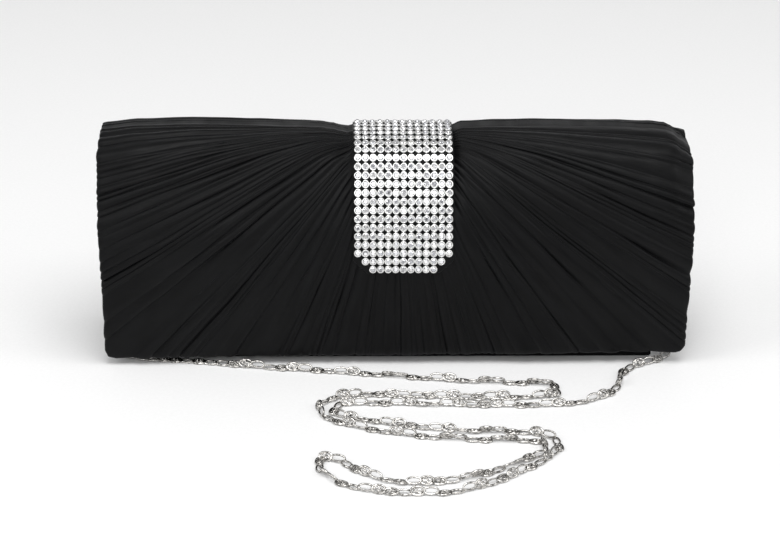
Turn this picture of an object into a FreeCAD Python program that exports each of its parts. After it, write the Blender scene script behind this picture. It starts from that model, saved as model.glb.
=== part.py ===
import FreeCAD, Part
import Sketcher
import math
import os

# A box-shaped evening clutch with a pleated satin flap, a crystal strap over the flap and a
# link chain on two snap hooks. Millimetres, +Z up, +X to the right seen from the front.
# The origin is the middle of the base on the surface that the bag stands on, and -Y is the front.

DRIVING_SIZES = [
    ("flap_width", 260.0),        # flap, side to side
    ("body_width", 228.0),        # outside of the two recessed side panels
    ("back_width", 257.0),        # back panel, which is nearly as wide as the flap
    ("front_face", -23.9),        # flat lower front of the flap's cover
    ("back_face", 26.2),          # outside of the back panel
    ("flap_lift", 5.5),           # free edge of the flap above the surface
    ("lean_start", 48.0),         # height where the flap starts to lean back
    ("lean_radius", 77.0),
    ("lean_angle", 34.5),         # angles are those of the outward normal above the horizontal
    ("edge_radius", 10.3),
    ("edge_angle", 59.5),
    ("dome_radius", 28.5),
    ("dome_angle", 82.0),
    ("crown_radius", 75.0),
    ("fold_radius", 6.8),         # soft fold at the back of the top
    ("cover", 1.2),               # gathered satin of the flap
    ("wadding_inner", 2.1),
    ("flap_board_outer", 2.7),
    ("flap_board_inner", 4.3),
    ("flap_lining_outer", 4.4),
    ("flap_lining_inner", 5.0),
    ("board_crease", 1.0),        # the front board stops this many degrees short of the lean's end
    ("hem", 1.4),                 # turned-in satin at the flap's three free edges
    ("wall_outer", 8.0),          # front wall's cover, counted inward from the flap's face
    ("skin", 0.8),
    ("board", 1.6),
    ("lining_gap", 0.6),
    ("lining_wall", 0.7),
    ("wall_angle", 30.0),         # the front wall ends where its normal has this angle
    ("back_height", 87.4),
    ("padding", 1.0),
    ("gusset_top", 80.2),
    ("lining_top", 80.0),
    ("over_cut", 1.0),            # how far a cutting sketch reaches past what it cuts
    ("rim_height", 2.4),
    ("strap_width", 43.4),
    ("strap_foot", 45.2),         # lower end of the strap above the surface
    ("strap_corner", 5.6),        # cut corners of the strap's end
    ("strap_band", 0.8),
    ("cup_top", 1.3),
    ("stone_top", 2.3),
    ("stone_radius", 1.5),
    ("stone_table", 0.85),
    ("column_pitch", 3.3),
    ("row_pitch", 3.74),
    ("strap_shift", 2.8),         # the strap sits a little right of the middle
    ("columns", 13),
    ("snap_height", 30.0),
    ("snap_radius", 7.5),
    ("socket_depth", 1.8),
    ("socket_hole", 3.6),
    ("stud_plate", 0.9),
    ("stud_radius", 1.8),
    ("stud_length", 1.0),
    ("washer_radius", 6.5),
    ("washer_depth", 0.4),
    ("prong_offset", 4.0),
    ("prong_width", 2.4),
    ("prong_thickness", 0.8),
    ("ring_side", 119.8),         # plane of the ring, out from the middle of the bag
    ("ring_height", 76.0),
    ("ring_wire", 0.8),
    ("ring_half_width", 6.3),
    ("ring_leg", 4.0),
    ("tab_length", 10.0),
    ("tab_bore", 0.9),
    ("tab_outer", 2.0),
    ("tab_tail", 14.0),
    ("tab_thickness", 0.8),
    ("hook_height", 63.55),       # middle of the hook's eye
    ("hook_radius", 3.8),
    ("hook_wire", 0.75),
    ("barrel_radius", 1.9),
    ("barrel_foot", 51.0),
    ("barrel_top", 59.3),
    ("tail_radius", 1.7),
    ("tail_wire", 0.6),
    ("pivot_angle", -60.0),       # angles round the eye, counted from its outward side
    ("eye_start", 5.0),
    ("eye_end", 285.0),
    ("lever_length", 3.45),
    ("lever_tilt", 4.0),          # the closed lever leans in, behind the hook's tip
    ("lever_wire", 0.6),
    ("lever_boss", 0.8),
    ("pin_radius", 0.35),
    ("pin_bore", 0.42),
    ("pin_half", 1.5),
    ("ear_outer", 1.4),
    ("ear_inner", 0.85),
    ("ear_half", 0.9),
    ("pocket_width", 120.0),
    ("pocket_height", 48.0),
    ("pocket_foot", 12.0),
    ("chain_diameter", 4.4),
]

doc = FreeCAD.newDocument("evening_bag")
sheet = doc.addObject("Spreadsheet::Sheet", "Sizes")
for row, (alias, number) in enumerate(DRIVING_SIZES, start=1):
    sheet.set(f"A{row}", alias)
    sheet.set(f"B{row}", str(number))
    sheet.setAlias(f"B{row}", alias)
doc.recompute()

SIDES = {"left": -1, "right": 1}
V = FreeCAD.Vector
X_AXIS = V(1, 0, 0)
Y_AXIS = V(0, 1, 0)
Z_AXIS = V(0, 0, 1)
sub_parts = []


def size(alias):
    """A driving dimension as a number."""
    return float(sheet.get(alias))


def keep(piece, label):
    """Name a finished piece and put it on the list that is exported."""
    piece.Label = label
    sub_parts.append(piece)
    return piece


# ---------------------------------------------------------------- the flap's line in the YZ plane

def outward(angle):
    """Outward unit normal at an angle above the horizontal, front side being zero."""
    turn = math.radians(angle)
    return V(-math.cos(turn), math.sin(turn), 0)


class FlapLine:
    """The flap's outer line, up the front and over the top, as arcs of known centre."""

    def __init__(self):
        """Chain the arcs, each tangent to the one before it."""
        turns = [
            (0.0, size("lean_angle"), size("lean_radius")),
            (size("lean_angle"), size("edge_angle"), size("edge_radius")),
            (size("edge_angle"), size("dome_angle"), size("dome_radius")),
            (size("dome_angle"), 90.0, size("crown_radius")),
        ]
        self.arcs = []
        joint = V(size("front_face"), size("lean_start"), 0)
        for low, high, radius in turns:
            centre = joint - outward(low) * radius
            self.arcs.append((low, high, radius, centre))
            joint = centre + outward(high) * radius
        self.crown = joint
        self.fold_start = V(size("back_face") - size("fold_radius"), joint.y, 0)

    def front(self, inward, low_z, last_angle):
        """Line pieces from a height on the flat front up to the point with a given normal."""
        start = V(size("front_face") + inward, low_z, 0)
        joint = V(size("front_face") + inward, size("lean_start"), 0)
        pieces = [("line", start, joint)]
        return pieces + self.curved(inward, 0.0, last_angle)

    def curved(self, inward, first_angle, last_angle):
        """Arc pieces between two normals, at a distance inward of the outer line."""
        pieces = []
        for low, high, radius, centre in self.arcs:
            begin = max(low, first_angle)
            end = min(high, last_angle)
            if end > begin:
                pieces.append(("arc", centre, radius - inward, begin, end))
        return pieces

    def top(self, inward, first_angle):
        """Line pieces from a given normal over the top to where the soft fold starts."""
        shift = V(0, -inward, 0)
        flat = ("line", self.crown + shift, self.fold_start + shift)
        return self.curved(inward, first_angle, 90.0) + [flat]


def ends(piece):
    """First and last point of a line piece."""
    if piece[0] == "line":
        return piece[1], piece[2]
    _, centre, radius, begin, end = piece
    return centre + outward(begin) * radius, centre + outward(end) * radius


def closed_outline(outer, inner):
    """Join an outer run and an inner run with two straight ends, as sketch geometry."""
    geometry = []
    for piece in outer:
        geometry.append(piece_geometry(piece))
    geometry.append(Part.LineSegment(ends(outer[-1])[1], ends(inner[-1])[1]))
    for piece in reversed(inner):
        geometry.append(piece_geometry(piece))
    geometry.append(Part.LineSegment(ends(inner[0])[0], ends(outer[0])[0]))
    return geometry


def piece_geometry(piece):
    """The sketch line or arc of a line piece."""
    if piece[0] == "line":
        return Part.LineSegment(piece[1], piece[2])
    _, centre, radius, begin, end = piece
    circle = Part.Circle(centre, Z_AXIS, radius)
    return Part.ArcOfCircle(circle, math.pi - math.radians(end), math.pi - math.radians(begin))


def polygon(points):
    """Sketch lines round a list of (across, up) points."""
    corners = [V(across, up, 0) for across, up in points]
    following = corners[1:] + corners[:1]
    return [Part.LineSegment(first, second) for first, second in zip(corners, following)]


def add_sketch(body, name, role, geometry):
    """A sketch on one of the body's own origin planes."""
    sketch = body.newObject("Sketcher::SketchObject", name)
    plane = [item for item in body.Origin.OriginFeatures if item.Role == role][0]
    sketch.AttachmentSupport = (plane, [""])
    sketch.MapMode = "FlatFace"
    sketch.addGeometry(geometry, False)
    return sketch


def padded_body(label, geometry, width, role="YZ_Plane"):
    """A body padded evenly to both sides of its sketch by a width bound to the sheet."""
    body = doc.addObject("PartDesign::Body", label + "_body")
    sketch = add_sketch(body, label + "_outline", role, geometry)
    pad = body.newObject("PartDesign::Pad", label + "_pad")
    pad.Profile = sketch
    pad.Midplane = True
    pad.setExpression("Length", width)
    sketch.Visibility = False
    return keep(body, label)


def pocket(body, label, geometry, width, role="YZ_Plane"):
    """Cut a body evenly to both sides of a sketch."""
    sketch = add_sketch(body, label + "_cut_outline", role, geometry)
    cut = body.newObject("PartDesign::Pocket", label + "_cut")
    cut.Profile = sketch
    cut.Midplane = True
    cut.setExpression("Length", width)
    return cut


def bound_box(name, sizes, corner):
    """A Part::Box whose sizes and corner are expressions of the sheet."""
    box = doc.addObject("Part::Box", name)
    for side, text in zip(("Length", "Width", "Height"), sizes):
        box.setExpression(side, text)
    for direction, text in zip("xyz", corner):
        box.setExpression(f"Placement.Base.{direction}", text)
    return box


def bound_cylinder(name, radius, height, base, axis):
    """A Part::Cylinder along an axis, bound to the sheet."""
    cylinder = doc.addObject("Part::Cylinder", name)
    cylinder.setExpression("Radius", radius)
    cylinder.setExpression("Height", height)
    cylinder.Placement.Rotation = FreeCAD.Rotation(Z_AXIS, axis)
    for direction, text in zip("xyz", base):
        cylinder.setExpression(f"Placement.Base.{direction}", text)
    return cylinder


def fuse(name, shapes):
    """One solid from overlapping primitives."""
    joined = doc.addObject("Part::MultiFuse", name)
    joined.Shapes = shapes
    joined.Refine = False
    return joined


def cut(name, base, tool):
    """One primitive cut out of another."""
    rest = doc.addObject("Part::Cut", name)
    rest.Base = base
    rest.Tool = tool
    return rest


line = FlapLine()

# ---------------------------------------------------------------- the body: boards, covers, lining

def front_layer(label, outer, inner, foot):
    """A layer of the front wall, from the base up to its top edge."""
    last = size("wall_angle")
    outline = closed_outline(line.front(outer, foot, last), line.front(inner, foot, last))
    return padded_body(label, outline, "Sizes.body_width")


def front_wall():
    """Cover and board of the front wall, and the satin rim that closes its top edge."""
    skin_inner = size("wall_outer") + size("skin")
    board_inner = skin_inner + size("board")
    front_layer("front_satin", size("wall_outer"), skin_inner, 0.0)
    front_layer("front_board", skin_inner, board_inner, size("skin"))
    rim_inner = board_inner + size("lining_gap") + size("lining_wall")
    normal = outward(size("wall_angle"))
    upward = V(normal.y, -normal.x, 0)
    arc_centre = line.arcs[0][3]
    radius = line.arcs[0][2]
    low_outer = arc_centre + normal * (radius - size("wall_outer"))
    low_inner = arc_centre + normal * (radius - rim_inner)
    corners = [low_outer, low_outer + upward * size("rim_height"), low_inner + upward * size("rim_height"), low_inner]
    padded_body("front_rim", polygon([(c.x, c.y) for c in corners]), "Sizes.body_width")


def back_wall():
    """The stiff back board and the satin that wraps it on every side."""
    half = "-Sizes.back_width / 2"
    depth = "Sizes.board + 2 * Sizes.skin"
    front = "Sizes.back_face - Sizes.board - 2 * Sizes.skin"
    outer = bound_box("back_wrap", ("Sizes.back_width", depth, "Sizes.back_height"), (half, front, "0"))
    inner_sizes = ("Sizes.back_width - 2 * Sizes.skin", "Sizes.board", "Sizes.back_height - 2 * Sizes.skin")
    inner_corner = (half + " + Sizes.skin", front + " + Sizes.skin", "Sizes.skin")
    hollow = bound_box("back_hollow", inner_sizes, inner_corner)
    keep(cut("back_cover", outer, hollow), "back_satin")
    keep(bound_box("back_stiffener", inner_sizes, inner_corner), "back_board")


def base():
    """Base cover, base board and the soft pad under the lining."""
    half = "-Sizes.body_width / 2"
    front = "Sizes.front_face + Sizes.wall_outer + Sizes.skin"
    back = "Sizes.back_face - Sizes.board - 2 * Sizes.skin"
    depth = f"{back} - ({front})"
    keep(bound_box("base_cover", ("Sizes.body_width", depth, "Sizes.skin"), (half, front, "0")), "base_satin")
    inner_front = front + " + Sizes.board"
    inner_depth = f"{back} - ({inner_front})"
    board_sizes = ("Sizes.body_width", inner_depth, "Sizes.board")
    keep(bound_box("base_stiffener", board_sizes, (half, inner_front, "Sizes.skin")), "base_board")
    pad_width = "Sizes.body_width - 2 * (Sizes.skin + Sizes.board)"
    pad_corner = ("Sizes.skin + Sizes.board - Sizes.body_width / 2", inner_front, "Sizes.skin + Sizes.board")
    keep(bound_box("base_pad", (pad_width, inner_depth, "Sizes.padding"), pad_corner), "base_padding")


def wall_region(front_inset, back_y, foot, top):
    """Outline between the front wall, the back wall, a foot and a flat top."""
    radius = size("lean_radius") - front_inset
    centre = line.arcs[0][3]
    climb = math.degrees(math.asin((top - centre.y) / radius))
    run = line.front(front_inset, foot, climb)
    high = ends(run[-1])[1]
    low = ends(run[0])[0]
    geometry = [piece_geometry(piece) for piece in run]
    geometry.append(Part.LineSegment(high, V(back_y, top, 0)))
    geometry.append(Part.LineSegment(V(back_y, top, 0), V(back_y, foot, 0)))
    geometry.append(Part.LineSegment(V(back_y, foot, 0), low))
    return geometry


def gussets():
    """The two recessed side panels, each a board with its satin outside."""
    inset = size("wall_outer") + size("skin") + size("board")
    back_y = size("back_face") - size("board") - 2 * size("skin")
    foot = size("skin") + size("board")
    outline = wall_region(inset, back_y, foot, size("gusset_top"))
    for side, sign in SIDES.items():
        for label, start, thickness in (("satin", "0", "Sizes.skin"), ("board", "Sizes.skin", "Sizes.board")):
            panel = padded_body(f"gusset_{label}_{side}", outline, thickness)
            middle = f"Sizes.body_width / 2 - {start} - {thickness} / 2"
            panel.setExpression("Placement.Base.x", f"{sign} * ({middle})")


def lining():
    """The lining, a sewn bag open at the top, with a slip pocket on its back wall."""
    inset = size("wall_outer") + size("skin") + size("board") + size("lining_gap")
    back_y = size("back_face") - size("board") - 2 * size("skin") - size("lining_gap")
    foot = size("skin") + size("board") + size("padding")
    wall = size("lining_wall")
    width = "Sizes.body_width - 2 * (Sizes.skin + Sizes.board + Sizes.lining_gap)"
    shell = padded_body("lining", wall_region(inset, back_y, foot, size("lining_top")), width)
    inside = wall_region(inset + wall, back_y - wall, foot + wall, size("lining_top") + size("over_cut"))
    pocket(shell, "lining", inside, width + " - 2 * Sizes.lining_wall")
    inner_back = "Sizes.back_face - Sizes.board - 2 * Sizes.skin - Sizes.lining_gap - Sizes.lining_wall"
    pocket_front = inner_back + " - Sizes.lining_wall"
    half = "-Sizes.pocket_width / 2"
    sizes = ("Sizes.pocket_width", "Sizes.lining_wall", "Sizes.pocket_height")
    keep(bound_box("pocket_panel", sizes, (half, pocket_front, "Sizes.pocket_foot")), "slip_pocket")
    edge = ("Sizes.pocket_width", "2 * Sizes.lining_wall", "2.5 * Sizes.lining_wall")
    top = "Sizes.pocket_foot + Sizes.pocket_height"
    edge_corner = (half, pocket_front + " - Sizes.lining_wall", top)
    keep(bound_box("pocket_edge", edge, edge_corner), "pocket_binding")


def hinge_strip():
    """The soft satin fold that joins the back panel to the flap."""
    centre = line.fold_start - V(0, size("fold_radius"), 0)
    radius = size("fold_radius")
    foot = V(size("back_face"), size("back_height"), 0)
    outer = [("arc", centre, radius, 90.0, 180.0), ("line", V(centre.x + radius, centre.y, 0), foot)]
    inner_radius = radius - size("cover")
    inner_foot = foot - V(size("cover"), 0, 0)
    inner = [
        ("arc", centre, inner_radius, 90.0, 180.0),
        ("line", V(centre.x + inner_radius, centre.y, 0), inner_foot),
    ]
    padded_body("hinge_strip", closed_outline(outer, inner), "Sizes.back_width")


# ---------------------------------------------------------------- the flap

def flap_layer(label, outer, inner, width, foot):
    """A layer of the flap over its whole length."""
    outer_run = line.front(outer, foot, 90.0) + [line.top(outer, 90.0)[-1]]
    inner_run = line.front(inner, foot, 90.0) + [line.top(inner, 90.0)[-1]]
    return padded_body(label, closed_outline(outer_run, inner_run), width)


def flap():
    """Gathered cover, wadding, two boards, turned-in hem and lining."""
    foot = size("flap_lift")
    inside_width = "Sizes.flap_width - 2 * Sizes.hem"
    flap_layer("flap_satin", 0.0, size("cover"), "Sizes.flap_width", foot)
    flap_layer("flap_wadding", size("cover"), size("wadding_inner"), inside_width, foot + size("hem"))
    flap_layer("flap_lining", size("flap_lining_outer"), size("flap_lining_inner"), "Sizes.flap_width", foot)
    hem = flap_layer("flap_hem", size("cover"), size("flap_lining_outer"), "Sizes.flap_width", foot)
    over = size("over_cut")
    run_outer = line.front(size("cover") - over, foot + size("hem"), 90.0)
    run_inner = line.front(size("flap_lining_outer") + over, foot + size("hem"), 90.0)
    beyond = V(size("fold_radius"), 0, 0)
    for run, inset in ((run_outer, size("cover") - over), (run_inner, size("flap_lining_outer") + over)):
        flat = line.top(inset, 90.0)[-1]
        run.append(("line", flat[1], flat[2] + beyond))
    pocket(hem, "flap_hem", closed_outline(run_outer, run_inner), inside_width)
    board_outer = size("flap_board_outer")
    board_inner = size("flap_board_inner")
    crease = size("lean_angle") - size("board_crease")
    low = foot + size("hem")
    front = closed_outline(line.front(board_outer, low, crease), line.front(board_inner, low, crease))
    padded_body("flap_front_board", front, inside_width)
    first = size("edge_angle")
    top = closed_outline(line.top(board_outer, first), line.top(board_inner, first))
    padded_body("flap_top_board", top, inside_width)


def strap_stations():
    """Places along the strap: arc length from its foot to a point and its normal's angle."""
    pieces = line.front(0.0, size("strap_foot"), 90.0) + [line.top(0.0, 90.0)[-1]]
    spans = []
    for piece in pieces:
        if piece[0] == "line":
            spans.append((piece, (piece[2] - piece[1]).Length))
        else:
            spans.append((piece, piece[2] * math.radians(piece[4] - piece[3])))
    return spans


def strap_place(spans, length):
    """Point on the outer line and normal angle, a length along the strap."""
    for piece, span in spans:
        if length <= span:
            break
        length -= span
    if piece[0] == "line":
        direction = (piece[2] - piece[1]).normalize()
        angle = 0.0 if direction.y > 0.5 else 90.0
        return piece[1] + direction * length, angle
    _, centre, radius, begin, _ = piece
    angle = begin + math.degrees(length / radius)
    return centre + outward(angle) * radius, angle


def strap():
    """Strap band, cup mesh and the crystals in their rows."""
    foot = size("strap_foot")
    corner = size("strap_corner")
    half = size("strap_width") / 2
    over = size("over_cut")
    for label, outer, inner, width in (
        ("strap_band", -size("strap_band"), 0.0, "Sizes.strap_width"),
        ("strap_cups", -size("cup_top"), -size("strap_band"), "Sizes.column_pitch * Sizes.columns"),
    ):
        band = flap_layer(label, outer, inner, width, foot)
        band.setExpression("Placement.Base.x", "Sizes.strap_shift")
        for side, sign in SIDES.items():
            edge = sign * (half + over)
            slope = [(edge, foot - over), (edge, foot + corner + over),
                     (edge - sign * (corner + 2 * over), foot - over)]
            pocket(band, f"{label}_{side}", polygon(slope), "4 * Sizes.back_face", "XZ_Plane")
    spans = strap_stations()
    total = sum(span for _, span in spans)
    rows = int(total / size("row_pitch"))
    cone = Part.makeCone(size("stone_radius"), size("stone_table"), size("stone_top") - size("cup_top"))
    stones = []
    for row in range(rows):
        point, angle = strap_place(spans, (row + 0.5) * size("row_pitch"))
        normal = outward(angle)
        count = int(size("columns")) - 2 * max(0, 2 - row)
        seat = V(0, point.x, point.y) + V(0, normal.x, normal.y) * size("cup_top")
        rotation = FreeCAD.Rotation(Z_AXIS, V(0, normal.x, normal.y))
        for column in range(count):
            across = size("strap_shift") + (column - (count - 1) / 2) * size("column_pitch")
            stone = cone.copy()
            stone.Placement = FreeCAD.Placement(seat + V(across, 0, 0), rotation)
            stones.append(stone)
    group = doc.addObject("Part::Feature", "strap_crystals")
    group.Shape = Part.makeCompound(stones)
    keep(group, "strap_stones")


# ---------------------------------------------------------------- magnetic snap

def snap():
    """Socket on the front wall, stud on the flap, and the washer behind each."""
    wall = "Sizes.front_face + Sizes.wall_outer"
    disc = bound_cylinder("socket_disc", "Sizes.snap_radius", "Sizes.socket_depth",
                          ("0", wall, "Sizes.snap_height"), -Y_AXIS)
    hole = bound_cylinder("socket_hole", "Sizes.socket_hole", "Sizes.socket_depth",
                          ("0", wall + " - Sizes.socket_depth / 4", "Sizes.snap_height"), -Y_AXIS)
    prong_depth = "Sizes.skin + Sizes.board + Sizes.washer_depth"
    shapes = [cut("socket_face", disc, hole)]
    for side, sign in SIDES.items():
        shapes.append(prong(f"socket_prong_{side}", sign, prong_depth, wall))
    keep(fuse("socket_whole", shapes), "snap_socket")
    keep(bound_cylinder("socket_plate", "Sizes.washer_radius", "Sizes.washer_depth",
                        ("0", wall + " + " + prong_depth, "Sizes.snap_height"), -Y_AXIS), "socket_washer")
    lining_face = "Sizes.front_face + Sizes.flap_lining_inner"
    plate = bound_cylinder("stud_disc", "Sizes.snap_radius", "Sizes.stud_plate",
                           ("0", lining_face, "Sizes.snap_height"), Y_AXIS)
    stem = bound_cylinder("stud_stem", "Sizes.stud_radius", "Sizes.stud_length + Sizes.stud_plate",
                          ("0", lining_face, "Sizes.snap_height"), Y_AXIS)
    washer_face = "Sizes.front_face + Sizes.flap_board_outer - Sizes.washer_depth"
    depth = "Sizes.flap_lining_inner - Sizes.flap_board_outer + Sizes.washer_depth"
    shapes = [plate, stem]
    for side, sign in SIDES.items():
        shapes.append(prong(f"stud_prong_{side}", sign, depth, washer_face))
    keep(fuse("stud_whole", shapes), "snap_stud")
    keep(bound_cylinder("stud_plate", "Sizes.washer_radius", "Sizes.washer_depth",
                        ("0", washer_face, "Sizes.snap_height"), Y_AXIS), "stud_washer")


def prong(name, sign, depth, start):
    """One flat leg of the snap, bent over behind the board on the real thing."""
    sizes = ("Sizes.prong_thickness", depth, "Sizes.prong_width")
    corner = (f"{sign} * Sizes.prong_offset - Sizes.prong_thickness / 2", start,
              "Sizes.snap_height - Sizes.prong_width / 2")
    return bound_box(name, sizes, corner)


# ---------------------------------------------------------------- ring tabs, rings and snap hooks

def ring_tab(side, sign):
    """Satin loop sewn to the side panel, with the bore that the ring's bar turns in."""
    plane = f"{sign} * Sizes.ring_side"
    panel = "Sizes.body_width / 2"
    half = "-Sizes.tab_length / 2"
    tail_x = panel if sign > 0 else f"-{panel} - Sizes.tab_thickness"
    tail = bound_box(f"tab_tail_{side}", ("Sizes.tab_thickness", "Sizes.tab_length", "Sizes.tab_tail"),
                     (tail_x, half, "Sizes.ring_height + Sizes.tab_outer - Sizes.tab_tail"))
    reach = "Sizes.ring_side - Sizes.body_width / 2"
    bridge_x = panel if sign > 0 else "-Sizes.ring_side"
    bridge = bound_box(f"tab_bridge_{side}", (reach, "Sizes.tab_length", "2 * Sizes.tab_thickness"),
                       (bridge_x, half, "Sizes.ring_height + Sizes.tab_outer - 2 * Sizes.tab_thickness"))
    sleeve = bound_cylinder(f"tab_sleeve_{side}", "Sizes.tab_outer", "Sizes.tab_length",
                            (plane, half, "Sizes.ring_height"), Y_AXIS)
    bore = bound_cylinder(f"tab_bore_{side}", "Sizes.tab_bore", "Sizes.tab_length + 2 * Sizes.over_cut",
                          (plane, half + " - Sizes.over_cut", "Sizes.ring_height"), Y_AXIS)
    loop = fuse(f"tab_loop_{side}", [tail, bridge, sleeve])
    keep(cut(f"tab_whole_{side}", loop, bore), f"ring_tab_{side}")


def ring(side, sign):
    """D-shaped wire ring hanging on its straight bar."""
    plane = f"{sign} * Sizes.ring_side"
    half = "Sizes.ring_half_width"
    bar = bound_cylinder(f"ring_bar_{side}", "Sizes.ring_wire", f"2 * {half}",
                         (plane, f"-{half}", "Sizes.ring_height"), Y_AXIS)
    shapes = [bar]
    for name, turn in (("fore", -1), ("aft", 1)):
        place = (plane, f"{turn} * {half}", "Sizes.ring_height - Sizes.ring_leg")
        shapes.append(bound_cylinder(f"ring_leg_{name}_{side}", "Sizes.ring_wire", "Sizes.ring_leg",
                                     place, Z_AXIS))
        ball = doc.addObject("Part::Sphere", f"ring_corner_{name}_{side}")
        ball.setExpression("Radius", "Sizes.ring_wire")
        for direction, text in zip("xyz", (plane, f"{turn} * {half}", "Sizes.ring_height")):
            ball.setExpression(f"Placement.Base.{direction}", text)
        shapes.append(ball)
    bow = doc.addObject("Part::Torus", f"ring_bow_{side}")
    bow.setExpression("Radius1", half)
    bow.setExpression("Radius2", "Sizes.ring_wire")
    bow.Angle3 = 180
    bow.Placement.Rotation = FreeCAD.Rotation(V(0, -1, 0), V(0, 0, -1), V(1, 0, 0), "ZXY")
    for direction, text in zip("xyz", (plane, "0", "Sizes.ring_height - Sizes.ring_leg")):
        bow.setExpression(f"Placement.Base.{direction}", text)
    shapes.append(bow)
    keep(fuse(f"ring_whole_{side}", shapes), f"ring_{side}")


def eye_arc(name, sign, start, sweep):
    """Part of the hook's eye, a torus arc in the XZ plane counted from the outward side."""
    arc = doc.addObject("Part::Torus", name)
    arc.setExpression("Radius1", "Sizes.hook_radius")
    arc.setExpression("Radius2", "Sizes.hook_wire")
    arc.Angle3 = sweep
    across = V(sign * math.cos(math.radians(start)), 0, math.sin(math.radians(start)))
    upright = V(-sign * math.sin(math.radians(start)), 0, math.cos(math.radians(start)))
    arc.Placement.Rotation = FreeCAD.Rotation(across, upright, across.cross(upright), "XYZ")
    for direction, text in zip("xyz", (f"{sign} * Sizes.ring_side", "0", "Sizes.hook_height")):
        arc.setExpression(f"Placement.Base.{direction}", text)
    return arc


def pivot_point(sign):
    """Expressions of the lever's pivot, at its lower end on the eye."""
    across = f"{sign} * (Sizes.ring_side + Sizes.hook_radius * cos(Sizes.pivot_angle * 1 deg))"
    up = "Sizes.hook_height + Sizes.hook_radius * sin(Sizes.pivot_angle * 1 deg)"
    return across, up


def snap_hook(side, sign):
    """Hook with its barrel and tail eye, the sprung lever and the lever's pin."""
    plane = f"{sign} * Sizes.ring_side"
    start = size("eye_start")
    hook = eye_arc(f"hook_eye_{side}", sign, start, size("eye_end") - start)
    barrel = bound_cylinder(f"hook_barrel_{side}", "Sizes.barrel_radius", "Sizes.barrel_top - Sizes.barrel_foot",
                            (plane, "0", "Sizes.barrel_foot"), Z_AXIS)
    tail = doc.addObject("Part::Torus", f"hook_tail_{side}")
    tail.setExpression("Radius1", "Sizes.tail_radius")
    tail.setExpression("Radius2", "Sizes.tail_wire")
    tail.Placement.Rotation = FreeCAD.Rotation(Z_AXIS, Y_AXIS)
    for direction, text in zip("xyz", (plane, "0", "Sizes.barrel_foot - Sizes.tail_radius")):
        tail.setExpression(f"Placement.Base.{direction}", text)
    across, up = pivot_point(sign)
    shapes = [hook, barrel, tail]
    for name, turn in (("fore", -1), ("aft", 1)):
        edge = "-Sizes.ear_outer" if turn < 0 else "Sizes.ear_inner"
        sizes = ("2 * Sizes.ear_half", "Sizes.ear_outer - Sizes.ear_inner", "4 * Sizes.ear_half")
        corner = (across + " - Sizes.ear_half", edge, up + " - 3 * Sizes.ear_half")
        ear = bound_box(f"hook_ear_{name}_{side}", sizes, corner)
        shapes.append(ear)
    keep(fuse(f"hook_whole_{side}", shapes), f"hook_{side}")
    tilt = math.radians(size("lever_tilt"))
    lean = V(sign * math.sin(tilt), 0, math.cos(tilt))
    bar = bound_cylinder(f"lever_bar_{side}", "Sizes.lever_wire", "Sizes.lever_length", (across, "0", up), lean)
    boss = doc.addObject("Part::Sphere", f"lever_boss_{side}")
    boss.setExpression("Radius", "Sizes.lever_boss")
    for direction, text in zip("xyz", (across, "0", up)):
        boss.setExpression(f"Placement.Base.{direction}", text)
    lever = fuse(f"lever_solid_{side}", [bar, boss])
    bore = bound_cylinder(f"lever_bore_{side}", "Sizes.pin_bore", "2 * Sizes.pin_half",
                          (across, "-Sizes.pin_half", up), Y_AXIS)
    keep(cut(f"lever_whole_{side}", lever, bore), f"lever_{side}")
    keep(bound_cylinder(f"lever_pin_{side}", "Sizes.pin_radius", "2 * Sizes.pin_half",
                        (across, "-Sizes.pin_half", up), Y_AXIS), f"pin_{side}")


# ---------------------------------------------------------------- the chain

LIE = 2.2          # height of the chain's middle where it lies on the surface
CHAIN_ROUTE = [
    (-119.8, 0, 46.7), (-120, 0.4, 35.5), (-121, 0.4, 24), (-122, -0.4, 13.2), (-122.8, -4.6, 6), (-122.6, -11.4, LIE),
    (-119.8, -18.4, LIE), (-113.4, -23, LIE), (-104, -24.4, LIE), (-88, -25, LIE), (-62, -27.4, LIE),
    (-28, -31.6, LIE), (6, -37.4, LIE), (36, -42, LIE), (56, -43.2, LIE), (66.6, -43.7, LIE),
    (70.6, -46.9, LIE), (70.8, -51.9, LIE), (67.4, -55.4, LIE), (58, -56.2, LIE), (40, -57.2, LIE),
    (16, -55.6, LIE), (-8, -53, LIE), (-24, -54.6, LIE), (-33.6, -60.2, LIE), (-35, -68.4, LIE),
    (-29, -76.6, LIE), (-16, -83.4, LIE), (6, -90.2, LIE), (30, -94, LIE), (48, -94.2, LIE),
    (57.8, -94.5, LIE), (62.0, -98.0, LIE), (61.2, -103.6, LIE), (53.6, -108.6, LIE), (41, -118, LIE),
    (24, -127.6, LIE), (4, -129.8, LIE), (-10, -126, LIE), (-19.4, -117.8, LIE), (-27.0, -107.8, LIE),
    (-32.2, -108.0, LIE), (-35.2, -112.8, LIE), (-31.8, -121.8, LIE), (-22.4, -131.8, LIE), (-4, -137.2, LIE),
    (17, -137.8, LIE), (34, -131.6, LIE), (48, -121, LIE), (61, -109.2, LIE), (67.6, -99.6, LIE),
    (65, -91.4, LIE), (54, -86.8, LIE), (36, -87.2, LIE), (14, -84.2, LIE), (-6, -78.8, LIE),
    (-19, -74.8, LIE), (-26.4, -72.2, LIE), (-28.6, -68.5, LIE), (-27.9, -64.4, LIE), (-24.6, -61.9, LIE),
    (-16, -61.4, LIE), (2, -61.8, LIE), (34, -63.6, LIE), (62, -63.8, LIE), (80, -61.4, LIE),
    (91.6, -54.8, LIE), (97.4, -45.8, LIE), (98.2, -35.8, LIE), (103.4, -28.2, LIE), (111.6, -24.4, LIE),
    (119.4, -20.4, LIE), (124, -12.8, LIE), (124, -5.2, 5.6), (122.8, -0.4, 12.6), (121.4, 0.8, 23.4),
    (120, 0.4, 35.2), (119.8, 0, 46.7),
]


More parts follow.
